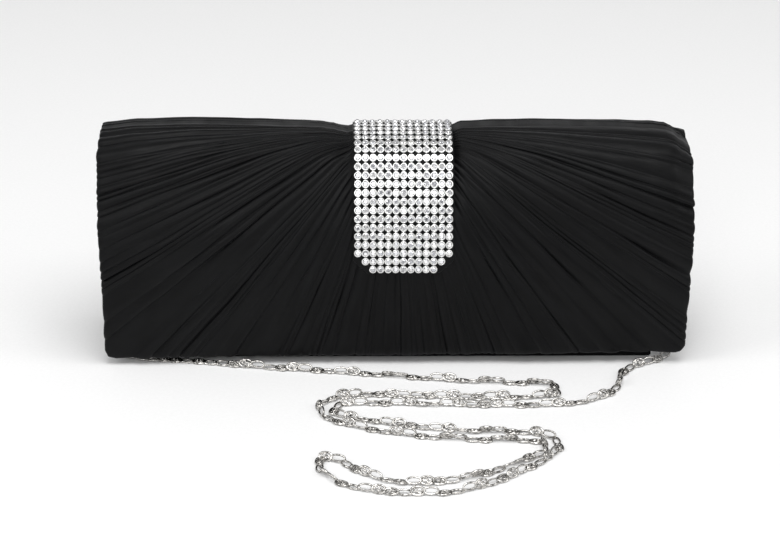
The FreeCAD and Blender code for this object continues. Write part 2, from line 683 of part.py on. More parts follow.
def chain():
    """The chain's tube: straight runs joined by tangent arcs along the route."""
    points = [V(*point) for point in CHAIN_ROUTE]
    edges = []
    tangent_start = points[0]
    radii = []
    for before, corner, after in zip(points, points[1:], points[2:]):
        into = (corner - before).normalize()
        out = (after - corner).normalize()
        turn = into.getAngle(out)
        setback = 0.45 * min((corner - before).Length, (after - corner).Length)
        radii.append((setback / math.tan(turn / 2), math.degrees(turn)))
        arc_start = corner - into * setback
        arc_end = corner + out * setback
        bisector = (out - into).normalize()
        radius = setback / math.tan(turn / 2)
        to_centre = math.hypot(radius, setback)
        middle = corner + bisector * (to_centre - radius)
        edges.append(Part.LineSegment(tangent_start, arc_start).toShape())
        edges.append(Part.Arc(arc_start, middle, arc_end).toShape())
        tangent_start = arc_end
    edges.append(Part.LineSegment(tangent_start, points[-1]).toShape())
    path = Part.Wire(edges)
    radius = size("chain_diameter") / 2
    section = Part.Wire(Part.makeCircle(radius, points[0], points[1] - points[0]))
    tube = path.makePipeShell([section], True, False)
    piece = doc.addObject("Part::Feature", "chain_tube")
    piece.Shape = tube
    keep(piece, "chain")
    expected = math.pi * radius ** 2 * path.Length
    print(f"chain length {path.Length:.1f} volume {tube.Volume:.0f} expected {expected:.0f}")
    print("chain bends", " ".join(f"{bend:.1f}@{turn:.0f}" for bend, turn in radii))


front_wall()
back_wall()
base()
gussets()
lining()
hinge_strip()
flap()
strap()
snap()
for side_name, side_sign in SIDES.items():
    ring_tab(side_name, side_sign)
    ring(side_name, side_sign)
    snap_hook(side_name, side_sign)
chain()
doc.recompute()

for item in doc.Objects:
    if "Invalid" in item.State or "Error" in item.State:
        raise RuntimeError(f"{item.Label} did not compute: {item.State}")
for piece in sub_parts:
    if piece.Shape.isNull() or not piece.Shape.isValid():
        raise RuntimeError(f"{piece.Label} has no valid shape")

os.makedirs("parts", exist_ok=True)
for piece in sub_parts:
    piece.Shape.exportStep(f"parts/{piece.Label}.step")
print(len(sub_parts), "sub-parts written")
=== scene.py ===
"""An evening clutch: a pleated satin flap, a crystal strap over it and a scroll-link chain.

Metres throughout, +Z up, +X to the right seen from the front and -Y towards the front.
"""

import logging
import math
import random
from dataclasses import dataclass, field
from enum import Enum
from typing import Callable, Iterable

import bmesh
import bpy
from mathutils import Matrix, Vector, noise

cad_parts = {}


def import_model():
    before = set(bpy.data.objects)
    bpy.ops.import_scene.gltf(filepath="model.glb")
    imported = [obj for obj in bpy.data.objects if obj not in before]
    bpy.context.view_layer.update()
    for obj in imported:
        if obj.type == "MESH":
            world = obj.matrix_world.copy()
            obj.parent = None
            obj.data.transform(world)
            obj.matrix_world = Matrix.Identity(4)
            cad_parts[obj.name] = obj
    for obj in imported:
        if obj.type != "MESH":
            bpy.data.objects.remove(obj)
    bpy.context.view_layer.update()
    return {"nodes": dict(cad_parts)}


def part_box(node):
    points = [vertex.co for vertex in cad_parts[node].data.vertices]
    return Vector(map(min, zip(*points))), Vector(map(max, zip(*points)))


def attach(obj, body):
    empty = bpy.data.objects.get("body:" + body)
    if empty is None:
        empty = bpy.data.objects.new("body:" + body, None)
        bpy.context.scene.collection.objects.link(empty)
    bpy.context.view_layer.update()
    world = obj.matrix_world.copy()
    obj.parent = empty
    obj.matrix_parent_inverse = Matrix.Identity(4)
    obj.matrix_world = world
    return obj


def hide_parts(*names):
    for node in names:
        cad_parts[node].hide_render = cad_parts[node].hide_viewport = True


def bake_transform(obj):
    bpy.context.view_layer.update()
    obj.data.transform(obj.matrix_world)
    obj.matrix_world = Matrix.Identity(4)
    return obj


MM = 0.001
X_AXIS, Y_AXIS, Z_AXIS = Vector((1.0, 0.0, 0.0)), Vector((0.0, 1.0, 0.0)), Vector((0.0, 0.0, 1.0))
SIDES = (("left", -1), ("right", 1))
Point = tuple[float, float, float]
Spot = tuple[Vector, Vector]  # a point and the unit normal there
Piece = bpy.types.Object
Finish = bpy.types.Material
Socket = bpy.types.NodeSocket
log = logging.getLogger("clutch")


# ---------------------------------------------------------------- small helpers

def smooth(low: float, high: float, value: float) -> float:
    """Eased step from 0 at low to 1 at high."""
    share = min(max((value - low) / (high - low), 0.0), 1.0)
    return share * share * (3 - 2 * share)


def blend_table(table: tuple[tuple[float, float], ...], at: float) -> float:
    """Eased value of a short table.

    Args:
        table: (place, value) pairs in rising order of place.
        at: The place asked for.

    Returns:
        The value there, level past the table's ends.
    """
    if at <= table[0][0]:
        return table[0][1]
    for (low, first), (high, second) in zip(table, table[1:]):
        if at <= high:
            return first + (second - first) * smooth(low, high, at)
    return table[-1][1]


def clear_selection() -> None:
    """Nothing stays selected, so the next operator acts only on its own piece."""
    bpy.ops.object.select_all(action="DESELECT")


def only(piece: Piece) -> Piece:
    """Make a piece the one that is selected and active."""
    clear_selection()
    piece.select_set(True)
    bpy.context.view_layer.objects.active = piece
    return piece


def settle(piece: Piece) -> Piece:
    """Move a piece's place into its mesh, so that its object sits at the origin."""
    only(piece)
    bpy.ops.object.transform_apply(location=True, rotation=True, scale=True)
    return piece


def finish_modifiers(piece: Piece) -> Piece:
    """Apply every modifier of a piece, in order."""
    only(piece)
    for modifier in list(piece.modifiers):
        bpy.ops.object.modifier_apply(modifier=modifier.name)
    return piece


def mesh_piece(name: str, points: list, faces: list, maps: list | None = None) -> Piece:
    """Make a smooth-shaded piece from points and faces.

    Args:
        name: The piece's name.
        points: Its corners, in the bag's frame.
        faces: Corner numbers of each face, counter-clockwise seen from outside.
        maps: One (u, v) pair for each corner, in metres along the cloth.

    Returns:
        The new object, linked to the scene.
    """
    mesh = bpy.data.meshes.new(name)
    mesh.from_pydata([tuple(p) for p in points], [], faces)
    mesh.polygons.foreach_set("use_smooth", [True] * len(mesh.polygons))
    if maps:
        layer = mesh.uv_layers.new(name="cloth")
        for loop in mesh.loops:
            layer.data[loop.index].uv = maps[loop.vertex_index]
    mesh.update()
    piece = bpy.data.objects.new(name, mesh)
    bpy.context.collection.objects.link(piece)
    return piece


def face_outwards(piece: Piece) -> Piece:
    """Turn the faces of a closed piece outwards."""
    shape = bmesh.new()
    shape.from_mesh(piece.data)
    bmesh.ops.recalc_face_normals(shape, faces=shape.faces)
    shape.to_mesh(piece.data)
    shape.free()
    return piece


def scatter(name: str, pattern: Piece, places: Iterable[Matrix]) -> Piece:
    """Copy a small pattern piece to many places as one mesh.

    Args:
        name: Name of the joined piece.
        pattern: The piece that is copied. It is removed afterwards.
        places: Where each copy goes. The face attributes "copy" and "facet" hold a random number
            for each copy and for each face.

    Returns:
        The joined piece.
    """
    corners = [v.co.copy() for v in pattern.data.vertices]
    sides = [tuple(p.vertices) for p in pattern.data.polygons]
    points, faces, numbers = [], [], []
    for number, place in enumerate(places):
        first = len(points)
        points += [place @ corner for corner in corners]
        faces += [tuple(first + index for index in side) for side in sides]
        numbers += [number] * len(sides)
    joined = mesh_piece(name, points, faces)
    flat = [p.use_smooth for p in pattern.data.polygons]
    joined.data.polygons.foreach_set("use_smooth", flat * (len(faces) // max(len(flat), 1)))
    for kind, seed, owners in (("copy", 7, numbers), ("facet", 19, range(len(faces)))):
        draw = random.Random(seed)
        shades = [draw.random() for _ in range(max(owners, default=0) + 1)]
        values = joined.data.attributes.new(kind, "FLOAT", "FACE")
        values.data.foreach_set("value", [shades[number] for number in owners])
    bpy.data.objects.remove(pattern, do_unlink=True)
    return joined


def pick(kind: str, test: Callable) -> None:
    """Select the faces or edges of the piece in edit mode that pass a test."""
    bpy.ops.mesh.select_all(action="DESELECT")
    mesh = bpy.context.object.data
    shape = bmesh.from_edit_mesh(mesh)
    for part in getattr(shape, kind):
        part.select_set(test(part))
    bmesh.update_edit_mesh(mesh)


def frame_at(origin: Vector, outward: Vector, along: Vector) -> Matrix:
    """Place whose Z looks outward and whose Y runs along."""
    z_axis = outward.normalized()
    x_axis = along.cross(z_axis).normalized()
    y_axis = z_axis.cross(x_axis)
    turn = Matrix((x_axis, y_axis, z_axis)).transposed().to_4x4()
    return Matrix.Translation(origin) @ turn


# ---------------------------------------------------------------- finishes

class Bench:
    """Builds one node material step by step."""

    def __init__(self, name: str) -> None:
        """Start an empty material with its shader."""
        self.material = bpy.data.materials.new(name)
        self.material.use_nodes = True
        self.tree = self.material.node_tree
        self.shader = self.tree.nodes["Principled BSDF"]
        self.places = self.tree.nodes.new("ShaderNodeTexCoord")
        self.plain = self.stretched("Object")

    def node(self, kind: str, **settings: object) -> bpy.types.Node:
        """Add a node and set its properties."""
        made = self.tree.nodes.new(kind)
        for key, value in settings.items():
            setattr(made, key, value)
        return made

    def link(self, source: Socket, target: Socket) -> None:
        """Join two sockets."""
        self.tree.links.new(source, target)

    def stretched(self, source: str, scale: Point = (1.0, 1.0, 1.0), turn: float = 0.0) -> Socket:
        """Object or cloth coordinates, scaled and turned about Z."""
        mapping = self.node("ShaderNodeMapping")
        mapping.inputs["Scale"].default_value = scale
        mapping.inputs["Rotation"].default_value = (0.0, 0.0, turn)
        self.link(self.places.outputs[source], mapping.inputs["Vector"])
        return mapping.outputs["Vector"]

    def grain(self, vector: Socket, scale: float, detail: float = 3.0) -> Socket:
        """Fractal noise."""
        made = self.node("ShaderNodeTexNoise")
        made.inputs["Scale"].default_value = scale
        made.inputs["Detail"].default_value = detail
        self.link(vector, made.inputs["Vector"])
        return made.outputs["Fac"]

    def threads(self, vector: Socket, scale: float, direction: str) -> Socket:
        """Even parallel threads."""
        made = self.node("ShaderNodeTexWave", wave_type="BANDS", bands_direction=direction)
        made.inputs["Scale"].default_value = scale
        made.inputs["Distortion"].default_value = 0.6
        made.inputs["Detail"].default_value = 1.0
        self.link(vector, made.inputs["Vector"])
        return made.outputs["Fac"]

    def ranged(self, value: Socket, low: float, high: float,
               start: float = 0.3, end: float = 0.7) -> Socket:
        """Map a value that runs from start to end onto low to high."""
        made = self.node("ShaderNodeMapRange")
        for key, number in (("From Min", start), ("From Max", end), ("To Min", low), ("To Max", high)):
            made.inputs[key].default_value = number
        self.link(value, made.inputs["Value"])
        return made.outputs["Result"]

    def maths(self, operation: str, first: Socket, second: object) -> Socket:
        """One sum of two values."""
        made = self.node("ShaderNodeMath", operation=operation)
        self.link(first, made.inputs[0])
        if isinstance(second, (int, float)):
            made.inputs[1].default_value = second
        else:
            self.link(second, made.inputs[1])
        return made.outputs["Value"]

    def ramp(self, value: Socket, stops: list[tuple[float, Point]]) -> Socket:
        """Colour from a value, by stops of (place, colour)."""
        made = self.node("ShaderNodeValToRGB")
        elements = made.color_ramp.elements
        while len(elements) < len(stops):
            elements.new(0.5)
        for element, (place, colour) in zip(elements, stops):
            element.position = place
            element.color = (*colour, 1.0)
        self.link(value, made.inputs["Fac"])
        return made.outputs["Color"]

    def attribute(self, name: str) -> Socket:
        """A number that the mesh carries."""
        return self.node("ShaderNodeAttribute", attribute_name=name).outputs["Fac"]

    def bump(self, layers: list[tuple[Socket, float]]) -> None:
        """Stack bumps of (height, depth in metres), coarse first."""
        normal = None
        for height, depth in layers:
            made = self.node("ShaderNodeBump")
            made.inputs["Strength"].default_value = 1.0
            made.inputs["Distance"].default_value = depth
            self.link(height, made.inputs["Height"])
            if normal is not None:
                self.link(normal, made.inputs["Normal"])
            normal = made.outputs["Normal"]
        self.link(normal, self.shader.inputs["Normal"])

    def colour(self, socket: Socket) -> None:
        """Drive the base colour."""
        self.link(socket, self.shader.inputs["Base Color"])

    def roughness(self, socket: Socket) -> None:
        """Drive the roughness."""
        self.link(socket, self.shader.inputs["Roughness"])

    def fixed(self, **values: object) -> None:
        """Set the shader's own sockets, underscores standing for spaces."""
        for key, value in values.items():
            self.shader.inputs[key.replace("_", " ")].default_value = value


@dataclass(frozen=True)
class Recipe:
    """A named finish. Each kind of finish lays its own nodes."""

    name: str = "plain"

    def paint(self, bench: Bench) -> None:
        """Lay the material's nodes."""
        raise NotImplementedError

    def make(self) -> Finish:
        """Build the material."""
        bench = Bench(self.name)
        self.paint(bench)
        return bench.material


class Weave(Enum):
    """Which coordinates a cloth's pattern follows."""

    CLOTH = "UV"
    PLACE = "Object"


@dataclass(frozen=True)
class Satin(Recipe):
    """Silky black satin with fine threads and small creases along the gathers, whose colour is painted darker
    in the creases as painted shade.
    """

    name: str = "black_satin"
    weave: Weave = Weave.CLOTH
    dark: Point = (0.0011, 0.0011, 0.0013)
    light: Point = (0.0042, 0.0043, 0.0047)
    crinkle: float = 0.00030

    def paint(self, bench: Bench) -> None:
        """Lay the material's nodes."""
        crease_and_shade = bench.grain(bench.stretched(self.weave.value, (1.0, 0.09, 0.3)), 420.0, 4.0)
        hair = bench.grain(bench.stretched(self.weave.value, (1.0, 0.05, 0.3)), 1900.0, 2.0)
        cloud = bench.grain(bench.plain, 38.0, 3.0)
        threads = bench.threads(bench.stretched("Object", turn=0.5), 1500.0, "DIAGONAL")
        # Colour follows the crinkle: painted shade in its creases and painted light on its crests, times a
        # random tone from the cloud.
        tone = bench.maths("MULTIPLY", bench.ranged(crease_and_shade, 0.25, 1.0), bench.ranged(cloud, 0.75, 1.0))
        bench.colour(bench.ramp(tone, [(0.1, self.dark), (0.9, self.light)]))
        bench.roughness(bench.maths("ADD", bench.ranged(hair, 0.30, 0.48), bench.ranged(cloud, -0.03, 0.05)))
        bench.fixed(Specular_IOR_Level=0.12, Sheen_Weight=0.03, Sheen_Roughness=0.4,
                    Sheen_Tint=(0.75, 0.78, 0.85, 1.0))
        bench.bump([(crease_and_shade, self.crinkle), (hair, 0.00005), (threads, 0.000012)])


@dataclass(frozen=True)
class LiningCloth(Recipe):
    """Thin, plain-woven black lining with a faint rib."""

    name: str = "lining_cloth"
    dark: Point = (0.010, 0.010, 0.011)
    light: Point = (0.024, 0.024, 0.026)

    def paint(self, bench: Bench) -> None:
        """Lay the material's nodes."""
        warp = bench.threads(bench.plain, 900.0, "X")
        weft = bench.threads(bench.plain, 900.0, "Z")
        cloud = bench.grain(bench.plain, 60.0, 4.0)
        tone = bench.maths("MULTIPLY", bench.ranged(warp, 0.6, 1.0, 0.0, 1.0), bench.ranged(cloud, 0.6, 1.0))
        bench.colour(bench.ramp(tone, [(0.2, self.dark), (1.0, self.light)]))
        bench.roughness(bench.ranged(cloud, 0.48, 0.62))
        bench.fixed(Sheen_Weight=0.2, Sheen_Roughness=0.5)
        bench.bump([(cloud, 0.0004), (warp, 0.00002), (weft, 0.00002)])


@dataclass(frozen=True)
class Board(Recipe):
    """Pressed grey board with short fibres and darker flecks."""

    name: str = "greyboard"

    def paint(self, bench: Bench) -> None:
        """Lay the material's nodes."""
        fibre = bench.grain(bench.stretched("Object", (1.0, 0.25, 0.6)), 900.0, 4.0)
        fleck = bench.grain(bench.plain, 260.0, 2.0)
        tone = bench.maths("MULTIPLY", fibre, bench.ranged(fleck, 0.55, 1.0, 0.3, 0.45))
        bench.colour(bench.ramp(tone, [(0.2, (0.13, 0.125, 0.115)), (0.7, (0.30, 0.29, 0.27))]))
        bench.roughness(bench.ranged(fibre, 0.85, 0.95))
        bench.bump([(fibre, 0.00006)])


@dataclass(frozen=True)
class Padding(Recipe):
    """White needled wadding."""

    name: str = "wadding"

    def paint(self, bench: Bench) -> None:
        """Lay the material's nodes."""
        tuft = bench.grain(bench.plain, 320.0, 5.0)
        bench.colour(bench.ramp(tuft, [(0.3, (0.55, 0.55, 0.53)), (0.7, (0.80, 0.80, 0.78))]))
        bench.roughness(bench.ranged(tuft, 0.9, 1.0))
        bench.bump([(tuft, 0.0006)])


@dataclass(frozen=True)
class PlatedWire(Recipe):
    """Bright nickel plate with a mottle of tarnish and fine rubbing marks; the chain's far darker mottle is
    painted shade and a painted reflection.
    """

    name: str = "silver_wire"
    dark: Point = (0.42, 0.41, 0.39)
    light: Point = (0.80, 0.79, 0.77)
    polish: float = 0.12
    mottle: float = 240.0

    def paint(self, bench: Bench) -> None:
        """Lay the material's nodes."""
        tarnish_and_shade = bench.grain(bench.plain, self.mottle, 3.0)
        rubbed = bench.grain(bench.stretched("Object", (0.2, 1.0, 1.0), 0.7), 2600.0, 2.0)
        # Colour from the mottle: tarnish on the plate, and with the chain's very dark end painted shade
        # standing in for the links' recesses and a painted reflection of the dark bag.
        bench.colour(bench.ramp(tarnish_and_shade, [(0.32, self.dark), (0.62, self.light)]))
        bench.roughness(bench.maths("ADD", bench.ranged(rubbed, 0.0, 0.10),
                                    bench.ranged(tarnish_and_shade, self.polish + 0.08, self.polish)))
        bench.fixed(Metallic=1.0)
        bench.bump([(rubbed, 0.000008)])


@dataclass(frozen=True)
class Crystal(Recipe):
    """Foil-backed glass: every facet and every stone gets a random brightness in its colour, a painted glint
    for the different part of the light each throws back.
    """

    name: str = "crystal"

    def paint(self, bench: Bench) -> None:
        """Lay the material's nodes."""
        facet = bench.attribute("facet")
        stone = bench.attribute("copy")
        # Random brightness for each facet and each stone: painted glints and painted reflections in the
        # colour.
        painted_glint = bench.maths("MULTIPLY", bench.ranged(facet, 0.35, 1.0, 0.0, 1.0),
                            bench.ranged(stone, 0.7, 1.0, 0.0, 1.0))
        bench.colour(bench.ramp(painted_glint, [(0.22, (0.22, 0.22, 0.23)), (0.42, (0.48, 0.49, 0.52)),
                                        (0.62, (0.88, 0.88, 0.90)), (0.92, (0.99, 0.98, 0.94))]))
        scuff = bench.grain(bench.plain, 900.0, 2.0)
        bench.roughness(bench.ranged(scuff, 0.04, 0.12))
        bench.fixed(Metallic=0.85, IOR=1.6, Coat_Weight=1.0, Coat_Roughness=0.03)
        bench.bump([(scuff, 0.000004)])


@dataclass(frozen=True)
class Thread(Recipe):
    """Twisted black sewing thread."""

    name: str = "thread"

    def paint(self, bench: Bench) -> None:
        """Lay the material's nodes."""
        twist = bench.threads(bench.stretched("Object", turn=0.6), 2400.0, "X")
        bench.colour(bench.ramp(twist, [(0.1, (0.008, 0.008, 0.009)), (0.9, (0.030, 0.030, 0.032))]))
        bench.roughness(bench.ranged(twist, 0.45, 0.6, 0.0, 1.0))
        bench.bump([(twist, 0.00003)])


@dataclass(frozen=True)
class Paper(Recipe):
    """Seamless white studio paper."""

    name: str = "studio_paper"

    def paint(self, bench: Bench) -> None:
        """Lay the material's nodes."""
        tooth = bench.grain(bench.plain, 700.0, 3.0)
        bench.colour(bench.ramp(tooth, [(0.3, (0.86, 0.86, 0.86)), (0.7, (0.89, 0.89, 0.89))]))
        bench.roughness(bench.ranged(tooth, 0.8, 0.9))
        bench.bump([(tooth, 0.00001)])


def made_by(kind: type, *values: object, **more: object) -> Finish:
    """A field whose material is made when the finishes are."""
    return field(default_factory=lambda: kind(*values, **more).make())


@dataclass
class Finishes:
    """Every finish of the bag, made once."""

    satin: Finish = made_by(Satin)
    plain_satin: Finish = made_by(Satin, "black_satin_plain", Weave.PLACE, crinkle=0.0001)
    lining: Finish = made_by(LiningCloth)
    board: Finish = made_by(Board)
    padding: Finish = made_by(Padding)
    wire: Finish = made_by(PlatedWire)
    # The chain's very dark end is painted shade standing in for the links' recesses and a painted reflection
    # of the dark bag, not tarnish alone.
    chain: Finish = made_by(PlatedWire, "silver_chain", (0.12, 0.115, 0.105), (0.80, 0.78, 0.75), 0.13, 900.0)
    cups: Finish = made_by(PlatedWire, "silver_cups", (0.80, 0.80, 0.79), (0.97, 0.97, 0.96), 0.20)
    snap: Finish = made_by(PlatedWire, "snap_metal", (0.36, 0.35, 0.34), (0.66, 0.65, 0.63), 0.26)
    crystal: Finish = made_by(Crystal)
    thread: Finish = made_by(Thread)
    paper: Finish = made_by(Paper)


def dress(piece: Piece, material: Finish) -> Piece:
    """Give a piece its one finish."""
    piece.data.materials.clear()
    piece.data.materials.append(material)
    return piece


def declare(piece: Piece, finish: Finish, slot: str, *nodes: str, body: str = "bag") -> Piece:
    """Args:
        piece: The piece.
        finish: Its material.
        slot: The material slot it belongs to; not used.
        nodes: The CAD nodes that it stands for, if any.
        body: The body it rides.

    Returns:
        The piece.
    """
    dress(piece, finish)
    if nodes:
        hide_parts(*nodes)
    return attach(piece, body)


# ---------------------------------------------------------------- the flap's line

@dataclass
class FlapLine:
    """The flap's outer line from its free edge, up the front and over the top."""

    front_face: float = -23.9 * MM
    free_edge: float = 5.5 * MM
    lean_start: float = 48.0 * MM
    back_face: float = 26.2 * MM
    back_height: float = 87.4 * MM
    fold_radius: float = 6.8 * MM
    turns: tuple[tuple[float, float, float], ...] = (
        (0.0, 34.5, 77.0 * MM), (34.5, 59.5, 10.3 * MM), (59.5, 82.0, 28.5 * MM), (82.0, 90.0, 75.0 * MM))

    def __post_init__(self) -> None:
        """Chain the arcs, each tangent to the one before it."""
        self.arcs: list[tuple[float, float, float, float, float, float]] = []
        run = self.lean_start - self.free_edge
        y, z = self.front_face, self.lean_start
        for low, high, radius in self.turns:
            first, last = math.radians(low), math.radians(high)
            cy, cz = y + radius * math.cos(first), z - radius * math.sin(first)
            self.arcs.append((run, first, last, radius, cy, cz))
            run += radius * (last - first)
            y, z = cy - radius * math.cos(last), cz + radius * math.sin(last)
        self.crown = (run, y, z)
        self.fold_start = self.back_face - self.fold_radius
        self.length = run + self.fold_start - y

    def at(self, run: float) -> Spot:
        """Point and outward normal on the line.

        Args:
            run: Distance along the line from the free edge.

        Returns:
            The point in the middle plane, and the unit normal there.
        """
        if run <= self.arcs[0][0]:
            return Vector((0.0, self.front_face, self.free_edge + run)), Vector((0.0, -1.0, 0.0))
        if run >= self.crown[0]:
            _, y, z = self.crown
            return Vector((0.0, y + run - self.crown[0], z)), Vector((0.0, 0.0, 1.0))
        for start, first, last, radius, cy, cz in reversed(self.arcs):
            if run >= start:
                turn = first + (run - start) / radius
                normal = Vector((0.0, -math.cos(turn), math.sin(turn)))
                return Vector((0.0, cy, cz)) + normal * radius, normal
        raise ValueError("no part of the flap's line is there")

    def along(self, normal: Vector) -> Vector:
        """Direction up the line where its outward normal is this."""
        return Vector((0.0, normal.z, -normal.y))


# ---------------------------------------------------------------- cloth panels

@dataclass
class Panel:
    """A cloth or board panel between two surfaces, with rounded rims."""

    name: str
    place: Callable[[float, float], Spot]
    thickness: float
    steps: tuple[int, int] = (48, 24)
    wrinkle: float = 0.0
    wrinkle_size: float = 0.03
    seed: int = 1

    def relief(self, point: Vector, u: float, v: float) -> float:
        """Height of the soft wrinkles at a point, none at the rims."""
        if not self.wrinkle:
            return 0.0
        calm = min(u, 1 - u, v, 1 - v)
        spot = point / self.wrinkle_size + Vector((self.seed * 7.3, self.seed * 3.1, 0.0))
        return self.wrinkle * smooth(0.0, 0.06, calm) * noise.fractal(spot, 1.0, 2.0, 3)

    def build(self) -> Piece:
        """Make the closed panel.

        Returns:
            The piece, its outer side towards the surface's normal.
        """
        columns, rows = self.steps
        half = self.thickness / 2
        points, maps, faces, ring = [], [], [], []
        for i in range(columns + 1):
            for j in range(rows + 1):
                u, v = i / columns, j / rows
                point, normal = self.place(u, v)
                lift = self.relief(point, u, v)
                edge = 0.55 * half if i in (0, columns) or j in (0, rows) else 0.0
                points.append(point + normal * (lift - edge))
                points.append(point + normal * (lift - self.thickness + edge))
                maps += [(point.x, point.z + point.y)] * 2
        index = lambda i, j, side: 2 * (i * (rows + 1) + j) + side
        for i in range(columns):
            for j in range(rows):
                corners = [(i, j), (i + 1, j), (i + 1, j + 1), (i, j + 1)]
                faces.append(tuple(index(a, b, 0) for a, b in corners))
                faces.append(tuple(index(a, b, 1) for a, b in reversed(corners)))
        border = [(i, 0) for i in range(columns)] + [(columns, j) for j in range(rows)]
        border += [(i, rows) for i in range(columns, 0, -1)] + [(0, j) for j in range(rows, 0, -1)]
        for i, j in border:
            u, v = i / columns, j / rows
            point, normal = self.place(u, v)
            inside, _ = self.place(u + (0.5 - u) * 0.02, v + (0.5 - v) * 0.02)
            outward = point - inside
            outward -= normal * outward.dot(normal)
            outward.normalize()
            ring.append(len(points))
            points.append(point + outward * min(half * 0.7, 0.0006) - normal * half)
            maps.append((point.x, point.z + point.y))
        for number, (i, j) in enumerate(border):
            k, l = border[(number + 1) % len(border)]
            here, there = ring[number], ring[(number + 1) % len(border)]
            faces.append((index(k, l, 0), index(i, j, 0), here, there))
            faces.append((here, index(i, j, 1), index(k, l, 1), there))
        return face_outwards(mesh_piece(self.name, points, faces, maps))


# ---------------------------------------------------------------- the flap

@dataclass
class PleatedFlap:
    """Gathered satin cover, boards and lining of the flap."""

    line: FlapLine
    finishes: Finishes
    half_width: float = 130.0 * MM
    gather_at: float = 114.0 * MM
    gather_gap: float = 5.5 * MM
    corner: float = 2.6 * MM
    taper: float = 0.010
    skew_drop: float = 2.6 * MM
    inset: float = 1.2 * MM
    pleats: int = 88
    rows: int = 62
    columns: tuple[float, ...] = (0.0, 0.05, 0.14, 0.28, 0.44, 0.6, 0.75, 0.87, 0.95)
    wrap: tuple[tuple[float, float], ...] = (
        (0.7, 0.3), (1.1, 1.0), (1.2, 2.4), (1.1, 3.9), (0.6, 4.8), (-0.6, 5.1), (-5.0, 5.15))
    crest: tuple[tuple[float, float], ...] = (
        (-130, -1.2), (-112, 0.6), (-90, 1.2), (-62, 0.6), (-42, 0.2), (-34, -0.2), (-28, -1.1), (-24, -2.3),
        (-21, -2.9),
        (-16, -0.4), (16, -0.4), (21, -2.9), (24, -2.6), (29, -0.4), (45, 0.2), (64, 0.5), (96, 0.2),
        (112, -0.5), (119.5, -1.2), (122.5, -2.6), (125, -4.6), (130, -8.0))

    def __post_init__(self) -> None:
        """Draw the pleats' widths and depths."""
        draw = random.Random(41)
        widths = [math.exp(draw.gauss(0.0, 0.5)) for _ in range(self.pleats)]
        total = sum(widths)
        self.borders = [-math.pi / 2]
        for width in widths:
            self.borders.append(self.borders[-1] + math.pi * width / total)
        self.high = [draw.uniform(0.35, 1.0) for _ in range(self.pleats)]
        self.deep = [draw.uniform(0.35, 1.0) for _ in range(self.pleats + 1)]
        self.skew = [draw.uniform(0.62, 1.7) for _ in range(self.pleats)]

    def sag(self, across: float, run: float) -> float:
        """How far the padded flap lies above its plain line, away from the pleats."""
        top = smooth(52 * MM, 92 * MM, run)
        height = blend_table(self.crest, across / MM) * MM * top
        side = smooth(100 * MM, 130 * MM, abs(across))
        soft = noise.noise(Vector((across * 22, run * 22, 4.0))) * 0.5 * MM
        front = (1 - top) * 0.5 * MM * side * noise.noise(Vector((across * 60, run * 45, 9.0)))
        return height + soft + front

    def surface(self, across: float, run: float, depth: float) -> Spot:
        """Point of the flap at a depth under its plain line, with the sag taken in."""
        point, normal = self.line.at(run)
        height = normal * (self.sag(across, run) - depth)
        across *= 1 - self.taper * (1 - smooth(0.0, 100 * MM, run))
        return point + X_AXIS * across + height, normal

    def reach(self, turn: float) -> tuple[float, Vector]:
        """Where a pleat that leaves the gather at an angle meets the flap's outline.

        Args:
            turn: Angle from straight down, positive to the right.

        Returns:
            The distance from the gather, and the outline's outward direction in the flat.
        """
        side = self.half_width - self.inset
        sx, sy = math.sin(turn), -math.cos(turn)
        best, outward = 1.0, Vector((0.0, -1.0))
        if abs(sx) > 1e-9 and side / abs(sx) < best:
            best, outward = side / abs(sx), Vector((math.copysign(1.0, sx), 0.0))
        fall = self.skew_drop / (2 * self.half_width) * sx - sy
        drop = self.gather_at - self.inset + self.skew_drop / 2
        if fall > 1e-9 and drop / fall < best:
            best, outward = drop / fall, Vector((0.0, -1.0))
        low = self.inset - (self.skew_drop if sx < 0 else 0.0)
        round_x, round_y = side - self.corner, low + self.corner - self.gather_at
        spot = Vector((abs(sx) * best, sy * best))
        if spot.x > round_x and spot.y < round_y:
            centre = Vector((round_x, round_y))
            heading = Vector((abs(sx), sy))
            near = heading.dot(centre)
            best = near + math.sqrt(max(near * near - centre.length_squared + self.corner ** 2, 0.0))
            spot = heading * best - centre
            outward = Vector((math.copysign(spot.x, sx), spot.y)).normalized()
        return best, outward

    def fade(self, number: int, distance: float, kind: float) -> float:
        """How strong one crease or ridge is at a distance from the gather."""
        return 0.55 + 0.75 * noise.noise(Vector((number * 3.71, distance * 17.0, kind)))

    def pleat_height(self, number: int, share: float, distance: float, spacing: float) -> float:
        """Height of the gathered satin over the sag.

        Args:
            number: Which pleat, counted from the left.
            share: Place across the pleat, 0 to 1.
            distance: Distance from the gather.
            spacing: The pleat's width there.

        Returns:
            The height in metres, less than nothing in a crease.
        """
        sideways = smooth(0.4, 1.0, abs(self.borders[number]))
        size = min(0.38 * spacing, 1.6 * MM) * (1 + 0.35 * sideways)
        low = -size * 0.8 * self.deep[number] * max(self.fade(number, distance, 1.0), 0.05)
        following = number + 1
        high_side = -size * 0.8 * self.deep[following] * max(self.fade(following, distance, 1.0), 0.05)
        ridge = size * 0.50 * self.high[number] * max(self.fade(number, distance, 5.0), 0.1)
        bent = share ** self.skew[number]
        crown = 1 - abs(2 * bent - 1) ** 2.3
        valley = low * (1 - share) + high_side * share
        return valley * (1 - crown) + ridge * crown

